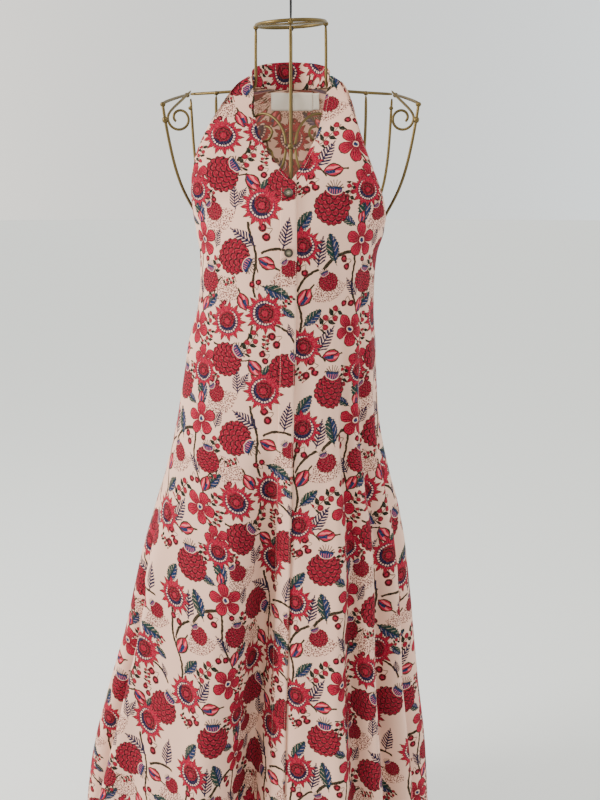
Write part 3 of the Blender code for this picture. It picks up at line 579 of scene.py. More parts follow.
def turn_hem(rows, width=0.018, height=0.0007):
    """A deeper turning along the hem."""
    for row in rows:
        for k, point in enumerate(row):
            out = outward(row, k)
            up = point.z - HEM_Z
            if up < width + 0.01:
                row[k] = point + out * height * (1 - smoothstep(width - 0.001, width + 0.004, up))


TOP_COUNT = TOP_ROWS * TOP_STEPS
for front in (right_rows, left_rows):
    turn_edge(front, TOP_STEPS, TOP_COUNT, outer_end=True)
    turn_edge(front, TOP_STEPS, V_ROW * TOP_STEPS, outer_end=False)
    turn_hem(front)
for half in back_halves:
    turn_edge(half, TOP_STEPS, TOP_COUNT, outer_end=True)
    turn_hem(half)
print("edges turned in by", TURNED * 1000, "mm")

# %% [markdown]
# From nets to sheets. Each panel gets an outer and an inner layer 1.1 mm apart, closed round the
# edge, so that it looks like cloth from every side. A Solidify modifier would do this too. Making
# both layers by hand lets the inner one be marked, because block print shows paler on the wrong
# side, and lets each point carry its place on the flat cloth, for the print to follow.


# %% Sheets with a right and a wrong side
def add_sheet(name, nets, thickness=CLOTH, doubled=False):
    """A sheet of cloth from nets of points, each with its flat places and whether it is turned over.
    A doubled one shows the right side on both faces."""
    points, spots, faces, number = [], [], [], {}
    for rows, places, turned_over in nets:
        index = []
        for row, line in zip(rows, places):
            for point, spot in zip(row, line):
                key = tuple(round(c * 1e6) for c in point)
                if key not in number:
                    number[key] = len(points)
                    points.append(point)
                    spots.append(spot)
                index.append(number[key])
        width = len(rows[0])
        for i in range(len(rows) - 1):
            for j in range(width - 1):
                a = i * width + j
                quad = [index[k] for k in (a, a + width, a + width + 1, a + 1)]
                quad = list(dict.fromkeys(quad))
                if len(quad) > 2:
                    faces.append(quad[::-1] if turned_over else quad)
    normals = [Vector() for _ in points]
    edges = {}
    for face in faces:
        a, b, c = (points[face[k]] for k in (0, 1, 2))
        out = (b - a).cross(c - a) if len(face) == 3 else (c - a).cross(points[face[3]] - b)
        for k, v in enumerate(face):
            normals[v] += out
            edges[(v, face[(k + 1) % len(face)])] = True
    layer = len(points)
    inner = [p - n.normalized() * thickness for p, n in zip(points, normals)]
    inner_faces = [[layer + v for v in face][::-1] for face in faces]
    rim = [(b, a, layer + a, layer + b) for a, b in edges if (b, a) not in edges]
    mesh = bpy.data.meshes.new(name)
    mesh.from_pydata(points + inner, [], faces + inner_faces + rim)
    uv = mesh.uv_layers.new(name="flat_cloth")
    for loop in mesh.loops:
        uv.data[loop.index].uv = spots[loop.vertex_index % layer]
    wrong = mesh.attributes.new("wrong_side", "FLOAT", "POINT")
    for i in range(layer, 2 * layer):
        wrong.data[i].value = 0.0 if doubled else 1.0
    mesh.shade_smooth()
    piece = bpy.data.objects.new(name, mesh)
    bpy.context.scene.collection.objects.link(piece)
    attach(piece, "root")
    print(name, len(mesh.polygons), "faces")
    return piece


def flat_places(rows, towards, start_u, start_v):
    """Where each point lies on the flat cloth, in metres, so that the print isn't stretched."""
    extra = [[0.0] * len(row) for row in rows]
    for i in range(len(rows) - 2, -1, -1):
        for j, (upper, lower) in enumerate(zip(rows[i], rows[i + 1])):
            step = upper - lower
            slack = math.hypot(step.y, step.z) - abs(step.z) if STATIONS[i] < V_ROW else 0.0
            extra[i][j] = extra[i + 1][j] + slack
    places = []
    for row, more in zip(rows, extra):
        u = row[0].x + start_u
        line = [(u, row[0].z * 1.01 + start_v + more[0])]
        for a, b, height in zip(row, row[1:], more[1:]):
            u += towards * (b - a).xy.length
            line.append((u, b.z * 1.01 + start_v + height))
        places.append(line)
    return places


def net_area(rows):
    """Square metres of a net."""
    total = 0.0
    for upper, lower in zip(rows, rows[1:]):
        for a, b, c, d in zip(upper, upper[1:], lower[1:], lower):
            total += (c - a).cross(b - d).length / 2
    return total


PRINT_UP = 0.386 * 1.01
RIGHT_PRINT, LEFT_PRINT, BACK_PRINT = 0.135, 0.1563, 0.036  # shifts of the print across
BACK_DROP = 0.005
right_places = flat_places(right_rows, -1, RIGHT_PRINT, PRINT_UP)
left_places = flat_places(left_rows, 1, LEFT_PRINT, PRINT_UP)
right_cloth = add_sheet("front_right_cloth", [(right_rows, right_places, True)])
left_cloth = add_sheet("front_left_cloth", [(left_rows, left_places, False)])
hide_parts("front_right")
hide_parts("front_left")
back_nets = []
for half, towards, turned_over in ((back_halves[0], 1, False), (back_halves[1], -1, True)):
    places = flat_places(half, towards, BACK_PRINT, PRINT_UP - BACK_DROP)
    back_nets.append((half, places, turned_over))
back_cloth = add_sheet("back_cloth", back_nets)
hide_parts("back")
print("square metres:", [round(net_area(net), 4) for net in (right_rows, left_rows, *back_halves)])

# %% [markdown]
# The neck band stands up round the back of the neck. It is cut as a strip that is wider in the
# middle, sewn to the back neckline and turned over at the top. Here it rises from the very points
# of the neckline, leaning in a little, so the seam closes by itself.

# %% Neck band
BAND_TOP_Z = -0.1660
BAND_END_Z = -0.1865
BAND_PRINT = (0.245, 0.095)  # where the band's print starts, across and up
neckline = [back_halves[0][i][0] for i in range(TOP_STEPS, 5 * TOP_STEPS + 1)]
neckline += [back_halves[1][i][0] for i in range(5 * TOP_STEPS - 1, TOP_STEPS - 1, -1)]
LEVELS = 14
band_rows = []
for level in range(LEVELS + 1):
    row = []
    for step, foot in enumerate(neckline):
        round_back = max(0.0, math.sin(math.pi * step / (len(neckline) - 1)))
        top = BAND_END_Z + (BAND_TOP_Z - BAND_END_Z) * round_back**0.8
        rise = (top - foot.z) * level / LEVELS
        inwards = Vector((-foot.x, -foot.y, 0)).normalized() * 0.10 * rise
        swell = 0.0007 * math.sin(math.pi * level / LEVELS) * math.sin(step * 0.55)
        roll = 0.0006 if level >= LEVELS - 2 else 0.0
        outwards = Vector((foot.x, foot.y, 0)).normalized() * (swell + roll)
        row.append(foot + inwards + outwards + Vector((0, 0, rise)))
    band_rows.append(row)
band_places = []
for row in band_rows:
    u = BAND_PRINT[0]
    line = [(u, row[0].z - neckline[0].z + BAND_PRINT[1])]
    for a, b in zip(row, row[1:]):
        u += (b - a).length
        line.append((u, b.z - neckline[0].z + BAND_PRINT[1]))
    band_places.append(line)
band_cloth = add_sheet("neck_band_cloth", [(band_rows, band_places, False)], doubled=True)
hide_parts("neck_band")
print("neck band", round(net_area(band_rows), 5), "square metres")

# %% [markdown]
# The placket is a strip of the same cotton down the overlap's edge, from the V to the hem. It is
# the front's own first columns of points, moved out along the cloth's normal, so it can't part
# from the front at a fold.


# %% Placket
def net_normals(rows, turned_over):
    result = []
    for i, row in enumerate(rows):
        line = []
        for j in range(len(row)):
            down = rows[min(i + 1, len(rows) - 1)][j] - rows[max(i - 1, 0)][j]
            across = row[min(j + 1, len(row) - 1)] - row[max(j - 1, 0)]
            line.append(down.cross(across).normalized() * (-1 if turned_over else 1))
        result.append(line)
    return result


STRIP_OUT = 0.0013
first = V_ROW * TOP_STEPS
under_strip = [row[: LAP_COLUMNS + 1] for row in right_rows[first:]]
strip_rows = []
for row, line in zip(under_strip, net_normals(under_strip, True)):
    strip_rows.append([p + n * STRIP_OUT for p, n in zip(row, line)])
strip_places = [line[: LAP_COLUMNS + 1] for line in right_places[first:]]
placket_cloth = add_sheet("placket_cloth", [(strip_rows, strip_places, True)], thickness=0.0010)
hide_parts("placket")
print("placket", round(net_area(strip_rows), 4), "square metres")

# %% [markdown]
# Inside the back neck are a woven label and a small tab, both blank here. A label is a stiff
# ribbon that lies on the cloth, so its points are found by casting rays at the back from in front
# and stopping just before its inner side.

# %% Blank labels
back_tree = surface_of(back_halves)
labels = []
for name, node, x0, x1, z0, z1, columns in (
    ("neck_label_cloth", "neck_label", -0.0322, 0.0340, -0.2100, -0.2362, 24),
    ("size_tab_cloth", "size_tab", 0.0346, 0.0445, -0.2108, -0.2350, 6),
):
    rows = []
    for i in range(9):
        z = z0 + (z1 - z0) * i / 8
        row = []
        for j in range(columns + 1):
            x = x0 + (x1 - x0) * j / columns
            hit, normal = straight_back(back_tree, x, z, start=-0.001)
            belly = 0.0006 * math.sin(math.pi * i / 8)
            row.append(hit + normal * (CLOTH + 0.0009 + belly))
        rows.append(row)
    places = [[(p.x, p.z) for p in row] for row in rows]
    label = add_sheet(name, [(rows, places, False)], thickness=0.0006)
    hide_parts(node)
    labels.append(label)
    print(name, round(net_area(rows) * 1e4, 2), "square cm")

# %% [markdown]
# The print. Cotton like this is printed with carved blocks: crimson carnations with scaly petals,
# star flowers with a beaded indigo crescent, five-petal flowers, teal leaves, indigo ferns, red
# berries and olive vines on a cream ground, repeating every 275 mm up the cloth. An image would
# be the quick way to show it. Drawing each motif from distances and angles instead keeps the print
# sharp at any distance, and lets a motif be set anywhere by a place, a direction and a size.
#
# A small class turns Math nodes into plain sums, so that a formula reads as it would on paper.

# %% Sums made of nodes
cotton, cotton_tree, cotton_shader = new_material("block_printed_cotton")


class Field:
    """A number that changes over the surface: the output of a node."""

    def __init__(self, socket):
        self.socket = socket

    def __add__(self, other):
        return work("ADD", self, other)

    __radd__ = __add__

    def __sub__(self, other):
        return work("SUBTRACT", self, other)

    def __rsub__(self, other):
        return work("SUBTRACT", other, self)

    def __mul__(self, other):
        return work("MULTIPLY", self, other)

    __rmul__ = __mul__

    def __truediv__(self, other):
        return work("DIVIDE", self, other)


def feed(tree, socket, value):
    """Links a node's output to a socket, or sets the socket's own number."""
    if isinstance(value, Field):
        tree.links.new(value.socket, socket)
    else:
        socket.default_value = value


def work(operation, *values):
    tree = next(v.socket.id_data for v in values if isinstance(v, Field))
    node = tree.nodes.new("ShaderNodeMath")
    node.operation = operation
    for socket, value in zip(node.inputs, values):
        feed(tree, socket, value)
    return Field(node.outputs[0])


def smallest(*values):
    result = values[0]
    for value in values[1:]:
        result = work("MINIMUM", result, value)
    return result


def largest(*values):
    result = values[0]
    for value in values[1:]:
        result = work("MAXIMUM", result, value)
    return result


def root(value):
    return work("SQRT", value)


def squared(value):
    return work("POWER", value, 2.0)


def size_of(value):
    """A number without its sign."""
    return work("ABSOLUTE", value)


def saw(value):
    """Falls from 0.5 to 0 and climbs back in each step of 1."""
    return work("ABSOLUTE", work("FRACT", value) - 0.5)


def vector_work(operation, *values, output="Vector"):
    tree = next(v.socket.id_data for v in values if isinstance(v, Field))
    node = tree.nodes.new("ShaderNodeVectorMath")
    node.operation = operation
    for socket, value in zip(node.inputs, values):
        feed(tree, socket, value)
    return Field(node.outputs[output])


def inside(distance, soft=0.45):
    """Over 1 where a distance is above zero and under 0 where it is below, with a soft edge in mm.
    The Mix node that prints a shape keeps this between 0 and 1."""
    return work("MULTIPLY_ADD", distance, 1 / soft, 0.5)


def split(vector):
    node = vector.socket.id_data.nodes.new("ShaderNodeSeparateXYZ")
    feed(vector.socket.id_data, node.inputs[0], vector)
    return Field(node.outputs["X"]), Field(node.outputs["Y"])


def linear(red, green, blue):
    """A colour given as seen on a screen, 0 to 255, in the renderer's own numbers."""
    parts = [c / 255 for c in (red, green, blue)]
    parts = [c / 12.92 if c <= 0.04045 else ((c + 0.055) / 1.055) ** 2.4 for c in parts]
    return (*parts, 1.0)


print("sums ready")

# %% [markdown]
# Every kind of motif stands at several spots of a tile 280 mm by 275 mm. For each spot the place
# on the cloth is wrapped round the tile, and the nearest spot is kept with its two directions. Two
# dot products then turn the place to that spot, so each kind's formula is written only once.

# %% The tile
TILE_ACROSS, TILE_UP = 280.0, 275.0
flat = cotton_tree.nodes.new("ShaderNodeUVMap")
flat.uv_map = "flat_cloth"
waver = cotton_tree.nodes.new("ShaderNodeTexNoise")
waver.noise_dimensions = "2D"
waver.inputs["Scale"].default_value = 160
waver.inputs["Detail"].default_value = 1
cotton_tree.links.new(flat.outputs[0], waver.inputs["Vector"])
in_mm = vector_work("MULTIPLY_ADD", Field(flat.outputs[0]), (1000, 1000, 0), (-1.1, -1.1, 1.0))
cloth_place = vector_work("MULTIPLY_ADD", Field(waver.outputs["Color"]), (2.2, 2.2, 0), in_mm)


def pick(chooser, first, second):
    """The second vector where the chooser is 1, and the first where it is 0."""
    node = cotton_tree.nodes.new("ShaderNodeMix")
    node.data_type = "VECTOR"
    feed(cotton_tree, node.inputs["Factor"], chooser)
    feed(cotton_tree, node.inputs[4], first)
    feed(cotton_tree, node.inputs[5], second)
    return Field(node.outputs[1])


def nearest(spots):
    """The place as seen from the nearest spot. A spot is across, up, direction in degrees, size."""
    best = None
    for across, up, direction, size in spots:
        here = vector_work(
            "WRAP",
            cloth_place,
            (across + TILE_ACROSS / 2, up + TILE_UP / 2, 2.0),
            (across - TILE_ACROSS / 2, up - TILE_UP / 2, 0.0),
        )
        away = vector_work("DISTANCE", here, (across, up, 1.0), output="Value")
        c = math.cos(math.radians(direction)) / size
        s = math.sin(math.radians(direction)) / size
        ahead = (c, s, -c * across - s * up)
        aside = (-s, c, s * across - c * up)
        if best is None:
            best, best_away, best_ahead, best_aside = here, away, ahead, aside
            continue
        closer = work("LESS_THAN", away, best_away)
        best = pick(closer, best, here)
        best_ahead = pick(closer, best_ahead, ahead)
        best_aside = pick(closer, best_aside, aside)
        best_away = work("MINIMUM", away, best_away)
    return (
        vector_work("DOT_PRODUCT", best, best_ahead, output="Value"),
        vector_work("DOT_PRODUCT", best, best_aside, output="Value"),
    )


CREAM = linear(224, 180, 158)
CRIMSON = linear(112, 0, 28)
DARK_CRIMSON = linear(30, 0, 6)
PINK_RED = linear(158, 6, 46)
PALE_PINK = linear(216, 96, 104)
INDIGO = linear(4, 8, 48)
TEAL = linear(0, 46, 40)
BLUE = linear(0, 34, 74)
DARK_GREEN = linear(2, 18, 8)
OLIVE = linear(34, 28, 12)
DOT_BROWN = linear(84, 16, 28)
ink_now = None


def ink(shape, colour):
    """Prints a shape over what has been printed so far."""
    global ink_now
    node = cotton_tree.nodes.new("ShaderNodeMix")
    node.data_type = "RGBA"
    feed(cotton_tree, node.inputs["Factor"], shape)
    feed(cotton_tree, node.inputs[6], ink_now if ink_now else CREAM)
    feed(cotton_tree, node.inputs[7], colour)
    ink_now = Field(node.outputs[2])


print("tile", TILE_ACROSS, "by", TILE_UP, "mm")

# %% [markdown]
# First the fans of fine dots that stand behind the small carnations. A Voronoi texture scatters
# dots evenly without a grid, and a fan's outline keeps those within reach of its foot.

# %% Fans of dots
x, y = nearest([(20, 260, -57, 1.3), (212, 159, -70, 1.2), (31, 153, 61, 1.2), (130, 178, -83, 1.0)])
x = x + 20
reach = root(x * x + y * y)
turn = work("ARCTAN2", y, x)
dots = cotton_tree.nodes.new("ShaderNodeTexVoronoi")
dots.voronoi_dimensions = "2D"
dots.inputs["Scale"].default_value = 0.37
feed(cotton_tree, dots.inputs["Vector"], cloth_place)
fan = smallest(reach - 5, 37 - reach, (0.8 - size_of(turn)) * 14)
speck = 0.34 - Field(dots.outputs["Distance"])
ink(smallest(inside(fan, 1.0), inside(speck, 0.12)), DOT_BROWN)

# %% [markdown]
# Vines climb the cloth in wavy lines between the stars, and short stems curve away from them to
# the flowers.

# %% Vines and stems
across, up = split(vector_work("WRAP", cloth_place, (TILE_ACROSS, TILE_UP, 2.0), (0.0, 0.0, 0.0)))
sway = work("SINE", up * (6 * math.pi / TILE_UP)) * 4 - up * 0.06
first_vine = smallest(2.0 - size_of(across - (sway + 92)), 56 - size_of(up - 200))
second_vine = smallest(2.0 - size_of(across - (sway + 175)), 56 - size_of(up - 148))
third_vine = smallest(1.8 - size_of(across - (sway + 266)), 62 - size_of(up - 148))
x, y = nearest(
    [
        (180, 172, 46, 1.15), (228, 202, 28, 1.45), (113, 214, 3, 1.12), (127, 92, -42, 1.0),
        (198, 56, -32, 0.7), (78, 193, -44, 0.7), (68, 84, -122, 1.0), (30, 71, -178, 0.95),
        (265, 72, -58, 0.8), (58, 50, 175, 0.7), (16, 160, 60, 0.8),
    ]
)
stem = smallest(1.8 - size_of(y + x * x * 0.013 - 2.6), x + 20, 20 - x)
ink(inside(largest(first_vine, second_vine, third_vine, stem)), OLIVE)

# %% [markdown]
# Ferns are a thin rib with slanting leaflets that get shorter towards the tip. Repeating a distance
# with a fraction draws all the leaflets with one formula.

# %% Indigo ferns
x, y = nearest(
    [
        (64, 234, 147, 1.85), (52, 17, 92, 1.45), (129, 240, 78, 1.75), (201, 213, 79, 1.8),
        (252, 159, 123, 1.3), (209, 81, 57, 1.85), (62, 17, 57, 1.25), (134, 95, 108, 0.9),
        (20, 232, 70, 1.2),
    ]
)
side = size_of(y)
leaflet = 1.02 - saw((x - side * 0.9) / 3.1) * 3.1
tip = 5.6 - squared(size_of(x + 4) * 0.062) * 5.6 - side
leaflet = smallest(leaflet, tip, x - side * 0.9 + 11.5)
rib = smallest(0.55 - side, x + 13, 13 - x)
ink(inside(largest(leaflet, rib), 0.5), INDIGO)

# %% [markdown]
# Leaves are pointed ovals of teal and blue, with pale slanting veins left unprinted.

# %% Teal leaves
x, y = nearest(
    [
        (114, 153, -23, 1.7), (3, 136, 38, 1.45), (101, 34, 40, 1.35), (269, 1, 102, 1.7),
        (177, 256, 53, 1.5), (220, 218, 102, 1.7), (189, 114, 43, 1.4), (131, 122, -37, 0.95),
        (244, 258, 150, 1.1),
    ]
)
side = size_of(y)
bays = work("SINE", x * 2.3) * 0.5
leaf = (1 - squared(x / 13.5)) * 6.0 + bays - side
veins = saw((x - side * 1.3) / 5.2) * 5.2 - 2.32
vein = smallest(veins, side - 1.4, leaf - 1.2)
ink(inside(leaf), TEAL)
ink(inside(smallest(leaf - 0.7, 0.2 - y), 2.2), BLUE)
ink(smallest(inside(vein), 0.5), CREAM)
ink(inside(smallest(0.35 - side, 13 - x, x + 16)), DARK_GREEN)

# %% [markdown]
# Sprays carry small red berries on one side of a stalk and dark leaves on the other, changing
# sides at every step.

# %% Sprays of small berries
x, y = nearest(
    [
        (13, 186, -108, 1.45), (6, 154, -102, 1.1), (276, 105, -139, 1.25), (1, 79, -112, 1.1),
        (74, 76, -124, 1.5), (97, 76, -93, 0.95), (215, 112, -138, 1.65), (131, 139, -139, 0.85),
        (269, 62, -103, 1.2), (170, 27, -55, 0.85), (10, 25, 147, 0.95), (244, 22, 80, 1.2),
        (40, 168, 20, 0.85),
    ]
)
x = x + 13.5
number = work("FLOOR", x / 6.2)
along = x - number * 6.2 - 3.1
flip = work("FRACT", number / 2) * 4 - 1
turned = y * flip
berry = 2.9 - root(along * along + squared(turned - 3.2))
leaf_side = size_of(along - turned * 0.35)
small_leaf = 2.5 - leaf_side - squared(size_of(turned + 3.8) * 0.42)
ends = smallest(x, 27 - x)
ink(inside(smallest(largest(small_leaf, 0.4 - size_of(y)), ends)), DARK_GREEN)
ink(inside(smallest(berry, ends)), CRIMSON)
ink(smallest(inside(smallest(berry - 1.6, ends), 0.8), 0.6), PINK_RED)

# %% [markdown]
# Larger berries hang in pairs: a dark ring round a pink middle.

# %% Berries in pairs
x, y = nearest(
    [
        (97, 241, -68, 1.65), (82, 166, -160, 1.25), (110, 80, -61, 1.6), (186, 29, 18, 1.55),
        (172, 185, -38, 1.4), (241, 196, -70, 1.45), (247, 134, 0, 1.35), (187, 41, -83, 1.4),
        (14, 15, -24, 1.2), (94, 54, -65, 1.3), (27, 132, 40, 1.05), (276, 205, 60, 1.2),
    ]
)
side = size_of(x)
from_middle = root(squared(side - 4.4) + y * y)
stalk = smallest(0.4 - size_of(side - 4.4 + y * 0.5), y, 8 - y)
ink(inside(stalk), OLIVE)
ink(inside(3.9 - from_middle), CRIMSON)
ring = 0.65 - size_of(from_middle - 2.6)
ink(inside(ring), DARK_CRIMSON)
ink(smallest(inside(1.6 - from_middle, 1.0), 0.8), PINK_RED)

# %% [markdown]
# Buds are ovals outlined in olive, with a red and pink inside and one blue stroke.

# %% Buds
x, y = nearest(
    [
        (100, 196, -30, 1.45), (62, 138, 110, 1.45), (177, 145, 55, 1.6), (269, 131, 60, 1.35),
        (219, 56, 5, 1.5), (80, 38, -50, 1.5), (267, 262, 80, 1),
    ]
)
side = size_of(y)
bud = (1 - squared(x / 10.5)) * 7.0 - side
ink(inside(largest(bud, smallest(0.9 - side, x - 8, 15 - x))), OLIVE)
ink(inside(bud - 1.5), PINK_RED)
ink(inside(smallest(bud - 2.2, 1.1 - size_of(side - 2.4))), PALE_PINK)
ink(inside(smallest(bud - 1.8, 0.8 - size_of(y - x * 0.3))), DARK_CRIMSON)
ink(inside(smallest(bud - 1.8, 1.2 - size_of(y * 0.8 + 1.4), 1.5 - x)), BLUE)

# %% [markdown]
# The carnations have the most ink. Rows of scales lie round the calyx like roof tiles, so
# each row is a step of the distance from the calyx and each scale a step of the angle.

# %% Carnations
x, y = nearest(
    [
        (48, 205, 153, 1.25), (34, 49, -146, 1.2), (127, 35, -128, 1.2), (219, 2, -94, 1.25),
        (17, 271, -50, 0.65), (213, 168, -65, 0.7), (134, 189, -50, 0.6), (278, 168, -100, 0.95),
    ]
)
calyx_x = x + 21
reach = root(calyx_x * calyx_x + y * y)
turn = work("ARCTAN2", y, calyx_x)
scallop = size_of(work("SINE", work("ARCTAN2", y, x) * 9)) * 1.7
blob = scallop + 20.6 - root(x * x * 1.08 + y * y)
row = reach / 6.4
row_number = work("FLOOR", row)
scale_place = work("FRACT", turn * (row_number + 0.6) * 0.72 + row_number * 0.5) - 0.5
scale_place = scale_place * scale_place * 1.9
edge = size_of(row - row_number - 0.92 + scale_place) * 6.4
shade = row - row_number
ink(inside(blob), PINK_RED)
ink(inside(smallest(blob - 0.8, (0.55 - shade) * 5), 2.5), CRIMSON)
ink(inside(largest(smallest(1.0 - edge, blob), smallest(blob, 1.0 - blob))), DARK_CRIMSON)
calyx_reach = root(squared(calyx_x * 1.4) + y * y)
calyx = smallest(9.0 - calyx_reach, calyx_x + 3.0)
ink(inside(calyx + 1.2), CREAM)
ink(inside(calyx), BLUE)
teeth = saw(y / 2.8) * 2.8 - 1.05
ink(smallest(inside(smallest(teeth, calyx - 0.8, calyx_x - 0.5)), 0.8), PALE_PINK)
back_turn = work("ARCTAN2", y, 1.5 - calyx_x) / 0.34
hair_gap = saw(back_turn) * size_of(calyx_x - 1.5) * 0.34
hair = smallest(0.45 - hair_gap, 11 - reach, reach - 3, -1.5 - calyx_x)
ink(inside(hair, 0.6), OLIVE)

# %% [markdown]
# Five-petal flowers have a notch between round petals and a white throat.

# %% Five-petal flowers
x, y = nearest([(269, 229, 20, 1.2), (252, 94, 55, 1.2), (273, 48, 30, 0.95)])
reach = root(x * x + y * y)
turn = work("ARCTAN2", y, x) * (5 / (2 * math.pi))
petal = saw(turn + 0.5)
bow = root(largest(1 - squared(petal * 2.04), 0.0))
flower = bow * 16 + 6.5 - reach
ink(inside(flower), DARK_CRIMSON)
streak = saw(petal * 7) * 3.2 - 0.75
ink(inside(smallest(flower - 1.3, reach * 0.06 - 0.5 + streak)), PINK_RED)
ink(inside(4.0 - reach), CREAM)
ink(inside(smallest(2.8 - reach, 2 - x)), BLUE)

# %% [markdown]
# Star flowers have two rings of pointed petals, a scaly crimson disc and an indigo crescent set
# with pale beads.

# %% Star flowers
x, y = nearest(
    [
        (93, 4, -135, 1.35), (96, 121, 175, 1.35), (36, 107, -70, 1.3), (175, 221, -85, 1.25),
        (175, 70, -150, 1.25), (271, 28, -100, 1.1),
    ]
)
reach = root(x * x + y * y)
turn = work("ARCTAN2", y, x)
petal = saw(turn * (13 / (2 * math.pi)))
outer = 24.5 - petal * 21 - reach
middle = petal * 16 + 11.4 - reach
ink(inside(outer), DARK_CRIMSON)
ink(inside(outer - 1.4), PINK_RED)
ink(inside(middle), DARK_CRIMSON)
ink(inside(middle - 1.0), PINK_RED)
ink(inside(smallest(0.55 - petal * reach * 0.5, reach - 14, outer - 2)), CRIMSON)
rings = reach * 0.27 + size_of(work("SINE", turn * 4.5)) * 0.35
scales = 0.6 - saw(rings) * 3.7
ink(inside(11.2 - reach), CRIMSON)
ink(inside(smallest(scales, 10.4 - reach)), DARK_CRIMSON)
ink(smallest(inside(3.0 - reach, 1.5), 0.7), PINK_RED)
crescent = smallest(14.2 - reach, root(squared(x + 3.6) + y * y) - 10.9)
ink(inside(crescent), INDIGO)
bead_place = saw(turn * (24 / (2 * math.pi))) * 3.6
bead = 1.15 - root(bead_place * bead_place + squared(reach - 12.4))
ink(inside(smallest(bead, crescent + 0.3)), CREAM)

# %% [markdown]
# Block printing leaves uneven ink, and cotton voile shows a fine weave with thicker threads here
# and there. Uneven ink mixes a little of the ground back in. The weave is two sets of waves at
# right angles that tip the light, kept weak so that the cloth stays soft. The wrong side is
# paler, as little ink goes through.

# %% Ink, wrong side and weave
patch = cotton_tree.nodes.new("ShaderNodeTexNoise")
patch.noise_dimensions = "2D"
patch.inputs["Scale"].default_value = 0.45
patch.inputs["Detail"].default_value = 3
feed(cotton_tree, patch.inputs["Vector"], cloth_place)
thin_ink = work("MULTIPLY_ADD", Field(patch.outputs["Fac"]), 0.3, -0.135)
ink(thin_ink, CREAM)
wrong_side = cotton_tree.nodes.new("ShaderNodeAttribute")
wrong_side.attribute_name = "wrong_side"
ink(Field(wrong_side.outputs["Fac"]) * 0.16, linear(226, 180, 148))
cotton_tree.links.new(ink_now.socket, cotton_shader.inputs["Base Color"])
across, up = split(in_mm)
warp = work("SINE", across * (2 * math.pi / 0.9))
weft = work("SINE", up * (2 * math.pi / 0.9))
slub = cotton_tree.nodes.new("ShaderNodeTexNoise")
slub.noise_dimensions = "2D"
slub.inputs["Scale"].default_value = 1.0
slub.inputs["Detail"].default_value = 2
stretched = vector_work("MULTIPLY", in_mm, (0.05, 1.1, 0))
feed(cotton_tree, slub.inputs["Vector"], stretched)
cloth_height = warp * weft * 0.25 + Field(slub.outputs["Fac"]) * 0.8
weave = cotton_tree.nodes.new("ShaderNodeBump")
weave.inputs["Strength"].default_value = 0.22
weave.inputs["Distance"].default_value = 0.0002
feed(cotton_tree, weave.inputs["Height"], cloth_height)
cotton_tree.links.new(weave.outputs[0], cotton_shader.inputs["Normal"])
cotton_shader.inputs["Roughness"].default_value = 0.84
cotton_shader.inputs["Specular IOR Level"].default_value = 0.15
for piece in (right_cloth, left_cloth, back_cloth, band_cloth, placket_cloth):
    piece.data.materials.append(cotton)
print("print made of", len(cotton_tree.nodes), "nodes")

# %% [markdown]
# The label is woven from smooth pale thread. Fine ribs across it are all that a blank label shows.


# %% Woven label
def two_tones(tree, shader, texture, dark, light):
    """Colours a material between two tones, by a texture's value."""
    tone = tree.nodes.new("ShaderNodeMix")
    tone.data_type = "RGBA"
    tone.inputs[6].default_value = dark
    tone.inputs[7].default_value = light
    tree.links.new(texture.outputs["Fac"], tone.inputs["Factor"])
    tree.links.new(tone.outputs[2], shader.inputs["Base Color"])


def noise_on(tree, scale, distortion=0.0):
    """A noise texture that goes with the piece."""
    where = tree.nodes.new("ShaderNodeTexCoord")
    texture = tree.nodes.new("ShaderNodeTexNoise")
    texture.inputs["Scale"].default_value = scale
    texture.inputs["Detail"].default_value = 2
    texture.inputs["Distortion"].default_value = distortion
    tree.links.new(where.outputs["Object"], texture.inputs["Vector"])
    return texture


woven, woven_tree, woven_shader = new_material("woven_label")
where = woven_tree.nodes.new("ShaderNodeTexCoord")
ribs = woven_tree.nodes.new("ShaderNodeTexWave")
ribs.bands_direction = "Z"
ribs.inputs["Scale"].default_value = 420
ribs.inputs["Distortion"].default_value = 0.6
woven_tree.links.new(where.outputs["Object"], ribs.inputs["Vector"])
two_tones(woven_tree, woven_shader, ribs, linear(240, 228, 210), linear(252, 244, 230))
rib_bump = woven_tree.nodes.new("ShaderNodeBump")
rib_bump.inputs["Strength"].default_value = 0.3
rib_bump.inputs["Distance"].default_value = 0.0002
woven_tree.links.new(ribs.outputs["Fac"], rib_bump.inputs["Height"])
woven_tree.links.new(rib_bump.outputs[0], woven_shader.inputs["Normal"])
woven_shader.inputs["Roughness"].default_value = 0.6
for label in labels:
    label.data.materials.append(woven)
print("label material on", len(labels), "pieces")

# %% [markdown]
# The form is bent from round brass-plated wire that has gone dull: brown in the hollows and
# brighter where it is rubbed. Curves with a bevel would give round wires, but the solids already
# hold every bend. So each wire starts as a copy of its solid, with its loose triangles joined, and
# a Subdivision Surface modifier rounds its six or eight sides.

# %% Wires rounded from their solids
brass, brass_tree, brass_shader = new_material("antique_brass")
black, black_tree, black_shader = new_material("black_enamel")
WIRE_SWELL = 0.00070  # how far faces are pushed out before the rounding, which takes some off
HOOK_SWELL = 0.00030


